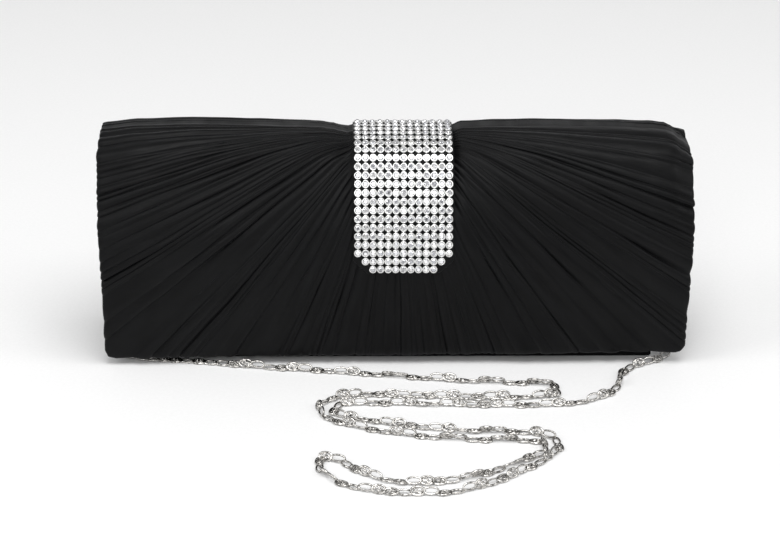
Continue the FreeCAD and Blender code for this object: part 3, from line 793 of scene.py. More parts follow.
    def rays(self) -> list[tuple[int, float, float, Vector, Vector, Vector]]:
        """Every column of the cover: pleat, share, spacing angle, start, end and outward direction."""
        found = []
        centre = Vector((0.0, self.gather_at))
        for number in range(self.pleats):
            low, high = self.borders[number], self.borders[number + 1]
            for share in self.columns:
                turn = low + (high - low) * share
                distance, outward = self.reach(turn)
                heading = Vector((math.sin(turn), -math.cos(turn)))
                start = centre + heading * self.gather_gap
                found.append((number, share, high - low, start, centre + heading * distance, outward))
        top = [self.line.length - self.gather_at, 4.9 * MM, 3.2 * MM, 1.6 * MM]
        side = self.half_width - self.inset
        left = [(0, 0.0, 0.02, Vector((-self.gather_gap, self.gather_at + up)),
                 Vector((-side, self.gather_at + up)), Vector((-1.0, 0.0))) for up in top]
        right = [(self.pleats - 1, 1.0, 0.02, Vector((self.gather_gap, self.gather_at + up)),
                  Vector((side, self.gather_at + up)), Vector((1.0, 0.0))) for up in [0.0] + top[::-1]]
        return left + found + right

    def cover(self) -> None:
        """The gathered satin with its wadding, turned in round three edges, as one padded piece."""
        points, maps, faces = [], [], []
        columns = self.rays()
        tall = self.rows + 1 + len(self.wrap)
        for number, share, spread, start, end, outward in columns:
            for row in range(self.rows + 1):
                flat = start.lerp(end, row / self.rows)
                distance = (flat - Vector((0.0, self.gather_at))).length
                meander = 0.0009 * noise.noise(Vector((number * 0.9, distance * 30.0, 2.0)))
                swing = Vector((-(end - start).y, (end - start).x)).normalized() * meander
                swing *= smooth(0.0, 0.3, row / self.rows) * smooth(0.0, 0.2, 1 - row / self.rows)
                flat = flat + swing
                base, normal = self.surface(flat.x, min(flat.y, self.line.length), 0.0)
                height = self.pleat_height(number, share, distance, spread * distance)
                points.append(base + normal * height)
                maps.append(((number + share) * 0.0036, distance))
            edge_height = height
            base, normal = self.surface(end.x, end.y, 0.0)
            ahead = Vector((outward.x, 0.0, 0.0)) + self.line.along(normal) * outward.y
            ripple = 0.35 * MM * noise.noise(Vector((end.x * 90, end.y * 90, 6.0)))
            for out, inward in self.wrap:
                keep = max(0.0, 1 - inward / 5.0)
                spot = base + ahead * (out * MM + (ripple + 0.3 * edge_height) * min(keep + 0.2, 1.0))
                points.append(spot - normal * (inward * MM - edge_height * keep))
                maps.append(((number + share) * 0.0036, distance + inward * MM))
        for column in range(len(columns) - 1):
            for row in range(tall - 1):
                first = column * tall + row
                faces.append((first, first + 1, first + 1 + tall, first + tall))
        faces.append(tuple(column * tall for column in range(len(columns) - 1, -1, -1))[::-1])
        cover = declare(mesh_piece("flap_cover", points, faces, maps), self.finishes.satin, "black_satin",
                        "flap_satin", "flap_wadding", "flap_hem", body="flap")

    def layers(self) -> None:
        """Boards and lining under the cover, which follow its sag, and the lining's stitches."""
        board, cloth = (self.finishes.board, "greyboard"), (self.finishes.lining, "lining_cloth")
        # millimetres: depth under the line, thickness, half width, start and end along the line, wrinkles
        kinds = (
            ("flap_board_front", "flap_front_board", board, (64, 30), (2.75, 1.55, 128.4, 1.6, 86.0, 0.0)),
            ("flap_board_top", "flap_top_board", board, (64, 16), (2.75, 1.55, 128.4, 91.5, 118.6, 0.0)),
            ("flap_inner_cloth", "flap_lining", cloth, (120, 60), (4.4, 0.6, 127.0, 3.4, 118.4, 0.14)))
        for name, node, finish, steps, sizes in kinds:
            depth, thickness, side, low, high, wrinkle = (size * MM for size in sizes)

            def place(u: float, v: float) -> Spot:
                return self.surface(side * (2 * u - 1), low + (high - low) * v, depth)

            declare(Panel(name, place, thickness, steps, wrinkle).build(), *finish, node, body="flap")
        self.stitches()

    def stitches(self) -> None:
        """A line of small stitches round the three sewn edges of the flap's lining."""
        side, low, high, pitch, depth = 125.0 * MM, 5.6 * MM, 116.0 * MM, 3.1 * MM, 5.02 * MM
        places = []
        for sign in (-1, 1):
            for step in range(int((high - low) / pitch)):
                run = low + (step + 0.5) * pitch
                point, normal = self.surface(sign * side, run, depth)
                places.append(frame_at(point, -normal, self.line.along(normal)))
        for step in range(int(2 * side / pitch)):
            point, normal = self.surface(-side + (step + 0.5) * pitch, low, depth)
            places.append(frame_at(point, -normal, X_AXIS))
        row = scatter("flap_stitches", stitch(1.0 * MM, 0.19 * MM), places)
        declare(row, self.finishes.thread, "lining_cloth", body="flap")

    def fold(self) -> None:
        """The soft satin fold that hinges the flap to the back panel, curved round between the two."""
        radius, side = self.line.fold_radius, 129.4 * MM
        centre = Vector((0.0, self.line.fold_start, self.line.crown[2] - radius))
        lead, drop = 2.6 * MM, 5.6 * MM
        turn_run = radius * math.pi / 2

        def place(u: float, v: float) -> Spot:
            across = side * (2 * u - 1) * (1.0 - 0.008 * v)
            run = v * (lead + turn_run + drop)
            sag = self.sag(across, self.line.length) * (1 - smooth(0.25, 0.8, v))
            if run < lead:
                point, normal = centre + Vector((0.0, run - lead, radius)), Z_AXIS
            elif run < lead + turn_run:
                turn = (run - lead) / radius
                normal = Vector((0.0, math.sin(turn), math.cos(turn)))
                point = centre + normal * radius
            else:
                point, normal = centre + Vector((0.0, radius, -(run - lead - turn_run))), Y_AXIS
            gather = 0.28 * MM * math.sin(v * 34.0 + 2.0 * noise.noise(Vector((across * 14, v * 2, 0.0))))
            gather *= 0.6 + 0.8 * noise.noise(Vector((across * 21, v * 5.0, 3.0)))
            under = 0.25 * MM * (1 - smooth(0.0, 0.2, v)) - 0.3 * MM * smooth(0.8, 1.0, v)
            return point + X_AXIS * across + normal * (sag + gather - under), normal

        fold = Panel("hinge_fold", place, 1.1 * MM, (160, 30), 0.2 * MM, 0.02, 5).build()
        dress(fold, self.finishes.plain_satin)
        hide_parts("hinge_strip")
        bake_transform(fold)

    def build(self) -> None:
        """Make every piece of the flap."""
        self.cover()
        log.info("flap cover with %d pleats", self.pleats)
        self.layers()
        log.info("flap boards, lining and stitches")
        self.fold()
        log.info("hinge fold")


def stitch(length: float, radius: float) -> Piece:
    """One stitch lying along Y, as a pattern for scatter."""
    clear_selection()
    bpy.ops.mesh.primitive_uv_sphere_add(segments=6, ring_count=4, radius=radius)
    piece = bpy.context.object
    piece.rotation_euler = (math.pi / 2, 0.0, 0.0)
    settle(piece)
    piece.scale = (1.0, length / radius, 1.0)
    settle(piece)
    only(piece)
    bpy.ops.object.shade_smooth()
    return piece


# ---------------------------------------------------------------- the crystal strap

@dataclass
class CrystalStrap:
    """The band of cup-set crystals that runs over the flap."""

    line: FlapLine
    finishes: Finishes
    half_width: float = 21.7 * MM
    foot: float = 45.2 * MM
    column_pitch: float = 3.3 * MM
    row_pitch: float = 3.74 * MM
    rows: int = 21
    shift: float = 2.8 * MM
    row_counts: tuple[int, ...] = (9, 11)
    full_row: int = 13
    band_thickness: float = 0.8 * MM
    cut_corner: float = 5.6 * MM
    cup_stretch: float = 1.09

    def stations(self) -> list[Matrix]:
        """Where every crystal sits, on the band."""
        draw = random.Random(5)
        places = []
        for row in range(self.rows):
            count = self.row_counts[row] if row < len(self.row_counts) else self.full_row
            run = self.foot - self.line.free_edge + (row + 0.5) * self.row_pitch
            point, normal = self.line.at(min(run, self.line.length))
            along = self.line.along(normal)
            for column in range(count):
                across = self.shift + (column - (count - 1) / 2) * self.column_pitch
                tilt = Vector((draw.gauss(0, 0.03), 0.0, 0.0)) + along * draw.gauss(0, 0.03)
                spot = point + X_AXIS * across + normal * self.band_thickness
                turned = frame_at(spot, normal + tilt, along)
                taller = Matrix.Diagonal((1.0, self.cup_stretch, 1.0, 1.0))
                places.append(turned @ taller @ Matrix.Rotation(draw.uniform(0, math.pi / 4), 4, "Z"))
        return places

    def band(self) -> None:
        """The dark band under the crystals, its lower corners cut."""
        low = self.foot - self.line.free_edge
        high = self.line.length

        def place(u: float, v: float) -> Spot:
            run = low + (high - low) * v
            cut = max(0.0, self.cut_corner - (run - low))
            point, normal = self.line.at(run)
            across = self.shift + (self.half_width - cut) * (2 * u - 1)
            tuck = 1.3 * MM * smooth(high - 3.0 * MM, high, run)
            return point + X_AXIS * across + normal * (self.band_thickness - tuck), normal

        band = Panel("strap_backing", place, 0.75 * MM, (26, 80)).build()
        declare(band, self.finishes.plain_satin, "black_satin", "strap_band", body="flap")

    def cup(self) -> Piece:
        """One claw cup, as a pattern for scatter."""
        clear_selection()
        bpy.ops.mesh.primitive_cylinder_add(vertices=12, radius=1.5 * MM, depth=0.62 * MM,
                                            location=(0.0, 0.0, 0.25 * MM), end_fill_type="NGON")
        cup = bpy.context.object
        settle(cup)
        only(cup)
        bpy.ops.object.mode_set(mode="EDIT")
        pick("faces", lambda face: face.normal.z > 0.9)
        bpy.ops.transform.resize(value=(1.13, 1.13, 1.0), center_override=(0.0, 0.0, 0.0))
        bpy.ops.mesh.inset(thickness=0.20 * MM, depth=0.16 * MM)
        bpy.ops.mesh.inset(thickness=0.26 * MM, depth=-0.12 * MM)
        bpy.ops.mesh.delete(type="ONLY_FACE")
        bpy.ops.object.mode_set(mode="OBJECT")
        bpy.ops.object.shade_smooth()
        return cup

    def stone(self) -> Piece:
        """One faceted chaton, as a pattern for scatter."""
        clear_selection()
        rings = [(1.30, 0.46), (1.04, 1.02), (0.66, 1.34)]  # radius and height of foot, girdle and table
        bpy.ops.mesh.primitive_circle_add(vertices=8, radius=rings[0][0] * MM, fill_type="NGON",
                                          location=(0.0, 0.0, rings[0][1] * MM))
        stone = bpy.context.object
        settle(stone)
        only(stone)
        bpy.ops.object.mode_set(mode="EDIT")
        bpy.ops.mesh.select_all(action="SELECT")
        for (before, low), (radius, high) in zip(rings, rings[1:]):
            bpy.ops.mesh.extrude_region_move(TRANSFORM_OT_translate={"value": (0.0, 0.0, (high - low) * MM)})
            grow = radius / before
            bpy.ops.transform.resize(value=(grow, grow, 1.0), center_override=(0.0, 0.0, high * MM))
        bpy.ops.object.mode_set(mode="OBJECT")
        shape = bmesh.new()
        shape.from_mesh(stone.data)
        middle = [v for v in shape.verts if abs(v.co.z - rings[1][1] * MM) < 0.01 * MM]
        for corner in middle:
            corner.co = Matrix.Rotation(math.pi / 8, 4, "Z") @ corner.co
        lowest = [f for f in shape.faces if all(v.co.z < 0.5 * MM for v in f.verts)]
        bmesh.ops.delete(shape, geom=lowest, context="FACES_ONLY")
        bmesh.ops.triangulate(shape, faces=[f for f in shape.faces if len(f.verts) == 4])
        bmesh.ops.recalc_face_normals(shape, faces=shape.faces)
        shape.to_mesh(stone.data)
        shape.free()
        if stone.data.polygons and sum(p.normal.z for p in stone.data.polygons) < 0:
            stone.data.flip_normals()
        return stone

    def build(self) -> None:
        """Make the band, the cups and the stones."""
        self.band()
        places = self.stations()
        for name, pattern, finish, slot, node in (
                ("strap_cup_rows", self.cup(), self.finishes.cups, "silver_cups", "strap_cups"),
                ("strap_stone_rows", self.stone(), self.finishes.crystal, "crystal", "strap_stones")):
            declare(scatter(name, pattern, places), finish, slot, node, body="flap")
        log.info("strap with %d crystals", len(places))


# ---------------------------------------------------------------- the bag's body

@dataclass
class BagBody:
    """Satin-covered walls, base and back panel, with the lining and its slip pocket."""

    line: FlapLine
    finishes: Finishes
    half_width: float = 114.0 * MM
    wall_inset: float = 8.0 * MM
    wall_angle: float = 30.0
    skin: float = 0.78 * MM
    base_front: float = -15.1 * MM
    base_back: float = 23.0 * MM
    base_steps: int = 82  # the first and the last are turned up over the base board
    base_rise: float = 2.3 * MM
    gusset_foot: float = 2.6 * MM
    gusset_top: float = 80.0 * MM
    gusset_back: float = 22.9 * MM
    back_half: float = 128.5 * MM
    back_depth: float = 3.2 * MM
    cloth: float = 0.7 * MM
    lining_half: float = 111.0 * MM
    lining_foot: float = 3.4 * MM
    lining_top: float = 80.0 * MM
    lining_back: float = 22.4 * MM
    floor_front: float = -12.9 * MM
    pad_half: float = 111.4 * MM
    pad_front: float = -13.3 * MM
    pad_back: float = 22.8 * MM
    pad_top: float = 3.35 * MM
    pocket_height: float = 48.0 * MM

    @property
    def wall_run(self) -> float:
        """Length of the front wall's line, from the base to its rim."""
        return self.line.lean_start + self.line.arcs[0][3] * math.radians(self.wall_angle)

    def wall(self, run: float, inset: float) -> Spot:
        """Point and normal on the front wall, at a run up from the base."""
        if run < self.line.lean_start:
            return Vector((0.0, self.line.front_face + inset, run)), -Y_AXIS
        point, normal = self.line.at(run - self.line.free_edge)
        return point - normal * inset, normal

    def panel(self, name: str, place: Callable, thickness: float, steps: tuple[int, int], wrinkle: float,
              finish: Finish, slot: str, *nodes: str) -> Piece:
        """One panel of the body, standing for its CAD nodes."""
        made = Panel(name, place, thickness, steps, wrinkle * MM, 0.045, len(name)).build()
        return declare(made, finish, slot, *nodes)

    def covers(self) -> None:
        """Satin on the front wall, base, side panels and back panel."""
        satin = (self.finishes.plain_satin, "black_satin")

        def front(u: float, v: float) -> Spot:
            point, normal = self.wall(v * self.wall_run, self.wall_inset)
            return point + X_AXIS * ((2 * u - 1) * (self.half_width - 0.3 * MM)), normal

        def base(u: float, v: float) -> Spot:
            depth = self.base_front + (self.base_back - self.base_front) * v
            outside, flat_share = self.half_width + 0.8 * MM, 1 - 2 / self.base_steps
            turned_up = abs(2 * u - 1) > 1 - 1 / self.base_steps
            across = max(-outside, min(outside, (1 - 2 * u) * outside / flat_share))
            if abs(across) < outside - 0.01 * MM:
                return Vector((across, depth, 0.0)), -Z_AXIS
            side = Vector((math.copysign(1.0, across), 0.0, 0.0 if turned_up else -1.0)).normalized()
            return Vector((across, depth, self.base_rise if turned_up else 0.0)), side

        self.panel("front_cover", front, self.skin, (96, 40), 0.22, *satin, "front_satin")
        self.panel("base_cover", base, self.skin, (self.base_steps, 14), 0.0, *satin, "base_satin")
        for side, sign in SIDES:
            def gusset(u: float, v: float) -> Spot:
                height = self.gusset_foot + (self.gusset_top - self.gusset_foot) * v
                lean, _ = self.wall(height, self.wall_inset + 2.5 * MM)
                y = lean.y + (self.gusset_back - lean.y) * (u if sign > 0 else 1 - u)
                return Vector((sign * self.half_width, y, height)), X_AXIS * sign

            self.panel(f"side_cover_{side}", gusset, self.skin, (20, 44), 0.16, *satin,
                       f"gusset_satin_{side}")
        self.back_cover()
        self.rim()

    def back_cover(self) -> None:
        """The stiff back panel's satin, wrapped over the board on every side."""
        clear_selection()
        bpy.ops.mesh.primitive_cube_add(size=1.0)
        cover = bpy.context.object
        cover.name = "back_cover"
        middle = self.line.back_face - self.back_depth / 2
        height = self.line.back_height
        cover.scale = (2 * self.back_half, self.back_depth, height)
        cover.location = (0.0, middle, height / 2)
        settle(cover)
        only(cover)
        bpy.ops.object.mode_set(mode="EDIT")
        bpy.ops.mesh.select_all(action="SELECT")
        bpy.ops.mesh.bevel(offset=0.9 * MM, segments=3, affect="EDGES")
        bpy.ops.object.mode_set(mode="OBJECT")
        remesh = cover.modifiers.new("even", "REMESH")
        remesh.mode = "VOXEL"
        remesh.voxel_size = 1.5 * MM
        finish_modifiers(cover)
        for corner in cover.data.vertices:
            x, y, z = corner.co
            calm = min(self.back_half - abs(x), z, height - z)
            ease = smooth(0.0, 6 * MM, calm) * (1 if y > middle else -1)
            corner.co.y += 0.22 * MM * ease * noise.fractal(Vector((x * 24, y * 24, z * 30)), 1.0, 2.0, 3)
        only(cover)
        bpy.ops.object.shade_smooth()
        declare(cover, self.finishes.plain_satin, "black_satin", "back_satin", "back_board")

    def rim(self) -> None:
        """The rolled satin rim along the front wall's top edge."""
        low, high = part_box("front_rim")
        centre = (low + high) / 2
        lean = math.radians(self.wall_angle)
        upward = Vector((0.0, math.sin(lean), math.cos(lean)))
        outward = Vector((0.0, -math.cos(lean), math.sin(lean)))
        sides, steps = 14, 120
        points, faces, maps = [], [], []
        for step in range(steps + 1):
            across = (2 * step / steps - 1) * (self.half_width - 0.2 * MM)
            pinch = min(1.0, 0.35 + 0.65 * smooth(0.0, 2.0 * MM, self.half_width - abs(across)))
            swell = 1 + 0.05 * noise.noise(Vector((across * 90, 1.0, 0.0)))
            for side in range(sides):
                turn = 2 * math.pi * side / sides
                along = 1.2 * MM * math.sin(turn) * swell * pinch
                thick = 1.75 * MM * math.cos(turn) * swell * pinch
                points.append(Vector((across, centre.y, centre.z)) + upward * along + outward * thick)
                maps.append((across, turn * 0.0012))
        for step in range(steps):
            for side in range(sides):
                first, second = step * sides + side, step * sides + (side + 1) % sides
                faces.append((first, second, second + sides, first + sides))
        faces.append(tuple(range(sides))[::-1])
        faces.append(tuple(steps * sides + side for side in range(sides)))
        rim = face_outwards(mesh_piece("front_edge_roll", points, faces, maps))
        declare(rim, self.finishes.plain_satin, "black_satin", "front_rim")

    def inside(self) -> None:
        """The lining's walls and floor, the pad under it and the slip pocket."""
        cloth = (self.finishes.lining, "lining_cloth")
        foot, back, half = self.lining_foot, self.lining_back, self.lining_half
        rise = self.lining_top - foot
        inset = self.wall_inset + 3.0 * MM

        def front(u: float, v: float) -> Spot:
            point, normal = self.wall(foot + (rise + 1.4 * MM) * v, inset + self.cloth)
            return point + X_AXIS * ((1 - 2 * u) * half), -normal

        def rear(u: float, v: float) -> Spot:
            return Vector(((2 * u - 1) * half, back - self.cloth, foot + rise * v)), -Y_AXIS

        def floor(u: float, v: float) -> Spot:
            y = self.floor_front + (back - self.floor_front) * v
            return Vector(((2 * u - 1) * half, y, foot + self.cloth)), Z_AXIS

        def pad(u: float, v: float) -> Spot:
            y = self.pad_front + (self.pad_back - self.pad_front) * v
            return Vector(((2 * u - 1) * self.pad_half, y, self.pad_top)), Z_AXIS

        self.panel("lining_front", front, self.cloth, (110, 40), 0.3, *cloth, "lining")
        self.panel("lining_back", rear, self.cloth, (110, 40), 0.2, *cloth)
        self.panel("lining_floor", floor, self.cloth, (80, 14), 0.2, *cloth)
        self.panel("base_pad", pad, 0.9 * MM, (60, 10), 0.05, self.finishes.padding, "wadding",
                             "base_padding")
        for side, sign in SIDES:
            def wall(u: float, v: float) -> Spot:
                lean, _ = self.wall(foot + rise * v, inset)
                y = lean.y + (back - lean.y) * (1 - u if sign > 0 else u)
                return Vector((sign * (half - self.cloth), y, foot + rise * v)), X_AXIS * -sign

            self.panel(f"lining_{side}", wall, self.cloth, (18, 40), 0.2, *cloth)
        self.pocket()

    def pocket(self) -> None:
        """The slip pocket on the lining's back wall, bound and stitched."""
        cloth = (self.finishes.lining, "lining_cloth")
        bulge = 0.5 * MM
        for name, node, thickness, steps, wrinkle in (
                ("pocket_cloth", "slip_pocket", 0.6 * MM, (70, 30), 0.12),
                ("pocket_edge_tape", "pocket_binding", 1.3 * MM, (70, 4), 0.0)):
            low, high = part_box(node)

            def sheet(u: float, v: float) -> Spot:
                hang = smooth(0.3, 1.0, v) if node == "slip_pocket" else 1.0
                slack = bulge * math.sin(math.pi * u) * hang
                x, z = low.x + (high.x - low.x) * u, low.z + (high.z - low.z) * v
                return Vector((x, low.y - slack, z)), -Y_AXIS

            self.panel(name, sheet, thickness, steps, wrinkle, *cloth, node)
        low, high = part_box("slip_pocket")
        pitch, margin, face = 2.8 * MM, 1.5 * MM, low.y - 0.05 * MM
        places = []
        for x in (low.x + margin, high.x - margin, 0.0):
            for step in range(int((high.z - low.z) / pitch)):
                out = bulge * step * pitch / self.pocket_height if not x else 0.0
                spot = Vector((x, face - out, low.z + (step + 0.5) * pitch))
                places.append(frame_at(spot, -Y_AXIS, Z_AXIS))
        for step in range(int((high.x - low.x) / pitch)):
            spot = Vector((low.x + (step + 0.5) * pitch, face, low.z + margin))
            places.append(frame_at(spot, -Y_AXIS, X_AXIS))
        row = scatter("pocket_stitches", stitch(0.95 * MM, 0.17 * MM), places)
        declare(row, self.finishes.thread, "lining_cloth")

    def build(self) -> None:
        """Make every soft piece of the body."""
        self.covers()
        log.info("body covers and front edge roll")
        self.inside()
        log.info("lining, pad and slip pocket")


# ---------------------------------------------------------------- tabs, rings, hooks and snap

@dataclass
class Hardware:
    """Satin tabs that hold the rings, and the plated metal parts."""

    finishes: Finishes
    nodes: dict[str, Piece]
    tab_half: float = 4.9 * MM
    bar: tuple[float, float] = (119.8, 76.0)

    def tab(self, side: str, sign: int) -> None:
        """A satin tab folded over the ring's bar and stitched to the side panel."""
        bar_x, bar_z = self.bar
        loop = [math.radians(95 - 220 * step / 8) for step in range(9)]
        outline = [(114.05, 64.0), (114.05, 74.2), (114.8, 77.2), (116.8, 77.8)]
        outline += [(bar_x + 1.95 * math.cos(turn), bar_z + 1.95 * math.sin(turn)) for turn in loop]
        outline += [(117.2, 75.6), (115.6, 75.2), (115.0, 73.6), (114.85, 64.2)]
        bore = [2 * math.pi * k / 12 for k in range(12)]
        inner = [(bar_x + math.cos(turn), bar_z + math.sin(turn)) for turn in bore]
        self.extruded(f"ring_loop_{side}", outline, inner, sign, side)
        places = [frame_at(Vector((sign * 114.9 * MM, y * MM, z * MM)), X_AXIS * sign, Y_AXIS)
                  for y in (-3.6, -1.2, 1.2, 3.6) for z in (65.4, 72.6)]
        row = scatter(f"ring_loop_stitches_{side}", stitch(0.9 * MM, 0.17 * MM), places)
        declare(row, self.finishes.thread, "black_satin")

    def extruded(self, name: str, outline: list, inner: list, sign: int, side: str) -> None:
        """Extrude the tab's section, in millimetres, along the bar, with a hole for it and soft edges."""
        shape = bmesh.new()
        loops = []
        for y in (-self.tab_half, self.tab_half):
            loops.append([[shape.verts.new((sign * x * MM, y, z * MM)) for x, z in ring]
                          for ring in (outline, inner)])
        for ring in (0, 1):
            first, second = loops[0][ring], loops[1][ring]
            for k in range(len(first)):
                n = (k + 1) % len(first)
                shape.faces.new((first[k], first[n], second[n], second[k]))
        for rings in loops:
            edges = []
            for ring in rings:
                for k in range(len(ring)):
                    pair = (ring[k], ring[(k + 1) % len(ring)])
                    edges.append(shape.edges.get(pair) or shape.edges.new(pair))
            bmesh.ops.triangle_fill(shape, use_beauty=True, edges=edges)
        bmesh.ops.recalc_face_normals(shape, faces=shape.faces)
        mesh = bpy.data.meshes.new(name)
        shape.to_mesh(mesh)
        shape.free()
        tab = bpy.data.objects.new(name, mesh)
        bpy.context.collection.objects.link(tab)
        bevel = tab.modifiers.new("soft_edges", "BEVEL")
        bevel.width, bevel.segments, bevel.limit_method = 0.18 * MM, 2, "ANGLE"
        finish_modifiers(tab)
        only(tab)
        bpy.ops.object.shade_smooth_by_angle(angle=math.radians(40))
        declare(tab, self.finishes.plain_satin, "black_satin", f"ring_tab_{side}")

    def build(self) -> None:
        """Make the tabs and dress the metal."""
        for side, sign in SIDES:
            self.tab(side, sign)
            for kind in ("ring", "hook", "lever", "pin"):
                dress(self.nodes[f"{kind}_{side}"], self.finishes.wire)
        for name in ("snap_socket", "socket_washer", "snap_stud", "stud_washer"):
            dress(self.nodes[name], self.finishes.snap)
        for name in ("front_board", "base_board", "gusset_board_left", "gusset_board_right"):
            dress(self.nodes[name], self.finishes.board)
        log.info("tabs, rings, snap hooks and snap")


# ---------------------------------------------------------------- the chain

@dataclass
class ScrollChain:
    """The chain of scroll links, from one snap hook to the other."""

    finishes: Finishes
    width: float = 4.4 * MM
    pitch: float = 10.6 * MM
    link_length: float = 12.1 * MM
    wire: float = 0.48 * MM
    scroll_wire: float = 0.40 * MM
    scroll_radius: float = 0.95 * MM
    scroll_middle: float = -2.75 * MM
    ring_reach: float = 2.85 * MM
    loop_middle: float = 2.5 * MM
    loop_reach: float = 3.1 * MM
    loose_ends: int = 3
    lie: float = 2.2
    tucked_to: tuple[float, float] = (-84.0 * MM, -23.0 * MM)  # links left of and behind this lie flat
    route: tuple[tuple[float, ...], ...] = (
        (-119.8, 0, 46.7), (-120, 0.4, 35.5), (-121, 0.4, 24), (-122, -0.4, 13.2), (-122.8, -4.6, 6),
        (-122.6, -11), (-119.8, -16.4), (-112.8, -19.2), (-103, -19.7), (-91, -21), (-64, -27),
        (-28, -31.6), (6, -37.4), (36, -42), (56, -43.2), (66.6, -43.7), (70.6, -46.9), (70.8, -51.9),
        (67.4, -55.4), (58, -56.2), (40, -57.2), (16, -55.6), (-8, -53), (-24, -54.6), (-33.6, -60.2),
        (-35, -68.4), (-29, -76.6), (-16, -83.4), (6, -90.2), (30, -94), (48, -94.2), (57.8, -94.5),
        (62, -98), (61.2, -103.6), (53.6, -108.6), (41, -118), (24, -127.6), (4, -129.8), (-10, -126),
        (-19.4, -117.8), (-27, -107.8), (-32.2, -108), (-35.2, -112.8), (-31.8, -121.8),
        (-22.4, -131.8), (-4, -137.2), (17, -137.8), (34, -131.6), (48, -121), (61, -109.2),
        (67.6, -99.6), (65, -91.4), (54, -86.8), (36, -87.2), (14, -84.2), (-6, -78.8), (-19, -74.8),
        (-26.4, -72.2), (-28.6, -68.5), (-27.9, -64.4), (-24.6, -61.9), (-16, -61.4), (2, -61.8),
        (34, -63.6), (62, -63.8), (80, -61.4), (91.6, -54.8), (97.4, -45.8), (98.2, -35.8),
        (103.4, -28.2), (111.6, -24.4), (119.4, -20.4), (124, -12.8), (124, -5.2, 5.6),
        (122.8, -0.4, 12.6), (121.4, 0.8, 23.4), (120, 0.4, 35.2), (119.8, 0, 46.7))

    def centreline(self) -> list[Vector]:
        """Points along the smooth curve that the chain lies on."""
        curve = bpy.data.curves.new("chain_route", "CURVE")
        curve.dimensions = "3D"
        curve.resolution_u = 14
        spline = curve.splines.new("NURBS")
        spline.points.add(len(self.route) - 1)
        for point, place in zip(spline.points, self.route):
            x, y, *height = place
            point.co = (x * MM, y * MM, (height[0] if height else self.lie) * MM, 1.0)
        spline.order_u = 3
        spline.use_endpoint_u = True
        holder = bpy.data.objects.new("chain_route", curve)
        bpy.context.collection.objects.link(holder)
        bpy.context.view_layer.update()
        read = bpy.data.meshes.new_from_object(holder)
        points = [v.co.copy() for v in read.vertices]
        bpy.data.objects.remove(holder, do_unlink=True)
        return points

    def link_pattern(self) -> Piece:
        """One link lying flat along X: a ring with a double scroll in it and an open loop beside it."""
        side = self.width / 2 - self.wire
        ring = self.oval(self.scroll_middle, self.ring_reach, side)
        loop = self.oval(self.loop_middle, self.loop_reach, side * 0.8)
        curl = []
        for step in range(13):
            share = step / 12
            reach = self.scroll_radius * (0.24 + 0.76 * share)
            turn = math.radians(-430 * (1 - share) - 30)
            curl.append((reach * (math.cos(turn) - math.cos(math.radians(-30))), reach * math.sin(turn)))
        shift = curl[-1][1]
        half_scroll = [(self.scroll_middle + x * 1.25, y - shift, 0.3 * MM) for x, y in curl]
        other_half = [(self.scroll_middle - x * 1.25, shift - y, 0.3 * MM) for x, y in curl[-2::-1]]
        parts = [self.wire_run(ring, True, self.wire), self.wire_run(loop, True, self.wire * 0.9),
                 self.wire_run(half_scroll + other_half, False, self.scroll_wire)]
        clear_selection()
        for part in parts:
            part.select_set(True)
        bpy.context.view_layer.objects.active = parts[0]
        bpy.ops.object.join()
        return parts[0]

    def oval(self, middle: float, reach: float, side: float) -> list[Point]:
        """An oval's points, long along X."""
        turns = [2 * math.pi * step / 14 for step in range(14)]
        return [(middle + reach * math.cos(turn), side * math.sin(turn), 0.0) for turn in turns]

    def wire_run(self, points: list[Point], closed: bool, radius: float) -> Piece:
        """A round wire through points, as a mesh of few faces."""
        curve = bpy.data.curves.new("wire", "CURVE")
        curve.dimensions = "3D"
        curve.bevel_depth = radius
        curve.bevel_resolution = 1
        curve.resolution_u = 1
        curve.use_fill_caps = True
        spline = curve.splines.new("POLY")
        spline.points.add(len(points) - 1)
        for point, place in zip(spline.points, points):
            point.co = (*place, 1.0)
        spline.use_cyclic_u = closed
        holder = bpy.data.objects.new("wire", curve)
        bpy.context.collection.objects.link(holder)
        only(holder)
        bpy.ops.object.convert(target="MESH")
        made = bpy.context.object
        bpy.ops.object.shade_smooth()
        return made

    def link_places(self, path: list[Vector]) -> list[Matrix]:
        """Where each link sits along the route, turned about it as it fell.

        Args:
            path: The route's points.

        Returns:
            One place for each link, in order.
        """
        runs = [0.0]
        for first, second in zip(path, path[1:]):
            runs.append(runs[-1] + (second - first).length)
        count = round(runs[-1] / self.pitch)
        step = runs[-1] / count
        draw = random.Random(23)
        places = []
        position = 0
        for number in range(count):
            ends = []
            for at in (number * step, (number + 0.5) * step, (number + 1) * step):
                position = next(k for k in range(1, len(runs)) if runs[k] >= at - 1e-9)
                share = (at - runs[position - 1]) / max(runs[position] - runs[position - 1], 1e-9)
                ends.append(path[position - 1].lerp(path[position], min(share, 1.0)))
            heading = (ends[2] - ends[0]).normalized()
            middle = ((ends[0] + ends[2]) / 2).lerp(ends[1], 0.3)
            flat = Z_AXIS if abs(heading.z) < 0.8 else -Y_AXIS
            across = flat.cross(heading).normalized()
            upward = heading.cross(across)
            roll = draw.uniform(-14, 24) if number % 2 else draw.choice((1, 1, -1)) * draw.uniform(34, 66)
            if middle.x < self.tucked_to[0] and middle.y > self.tucked_to[1]:
                roll = draw.uniform(-6, 6)
            if abs(heading.z) > 0.6:
                roll = 90.0 * (number % 2)
            if upward.z > 0 and across.y < 0:
                roll = -roll
            if draw.random() < 0.3:
                heading, across, roll = -heading, -across, -roll
            turn = Matrix((heading, across, upward)).transposed().to_4x4()
            places.append(Matrix.Translation(middle) @ turn @ Matrix.Rotation(math.radians(roll), 4, "X"))
        return places

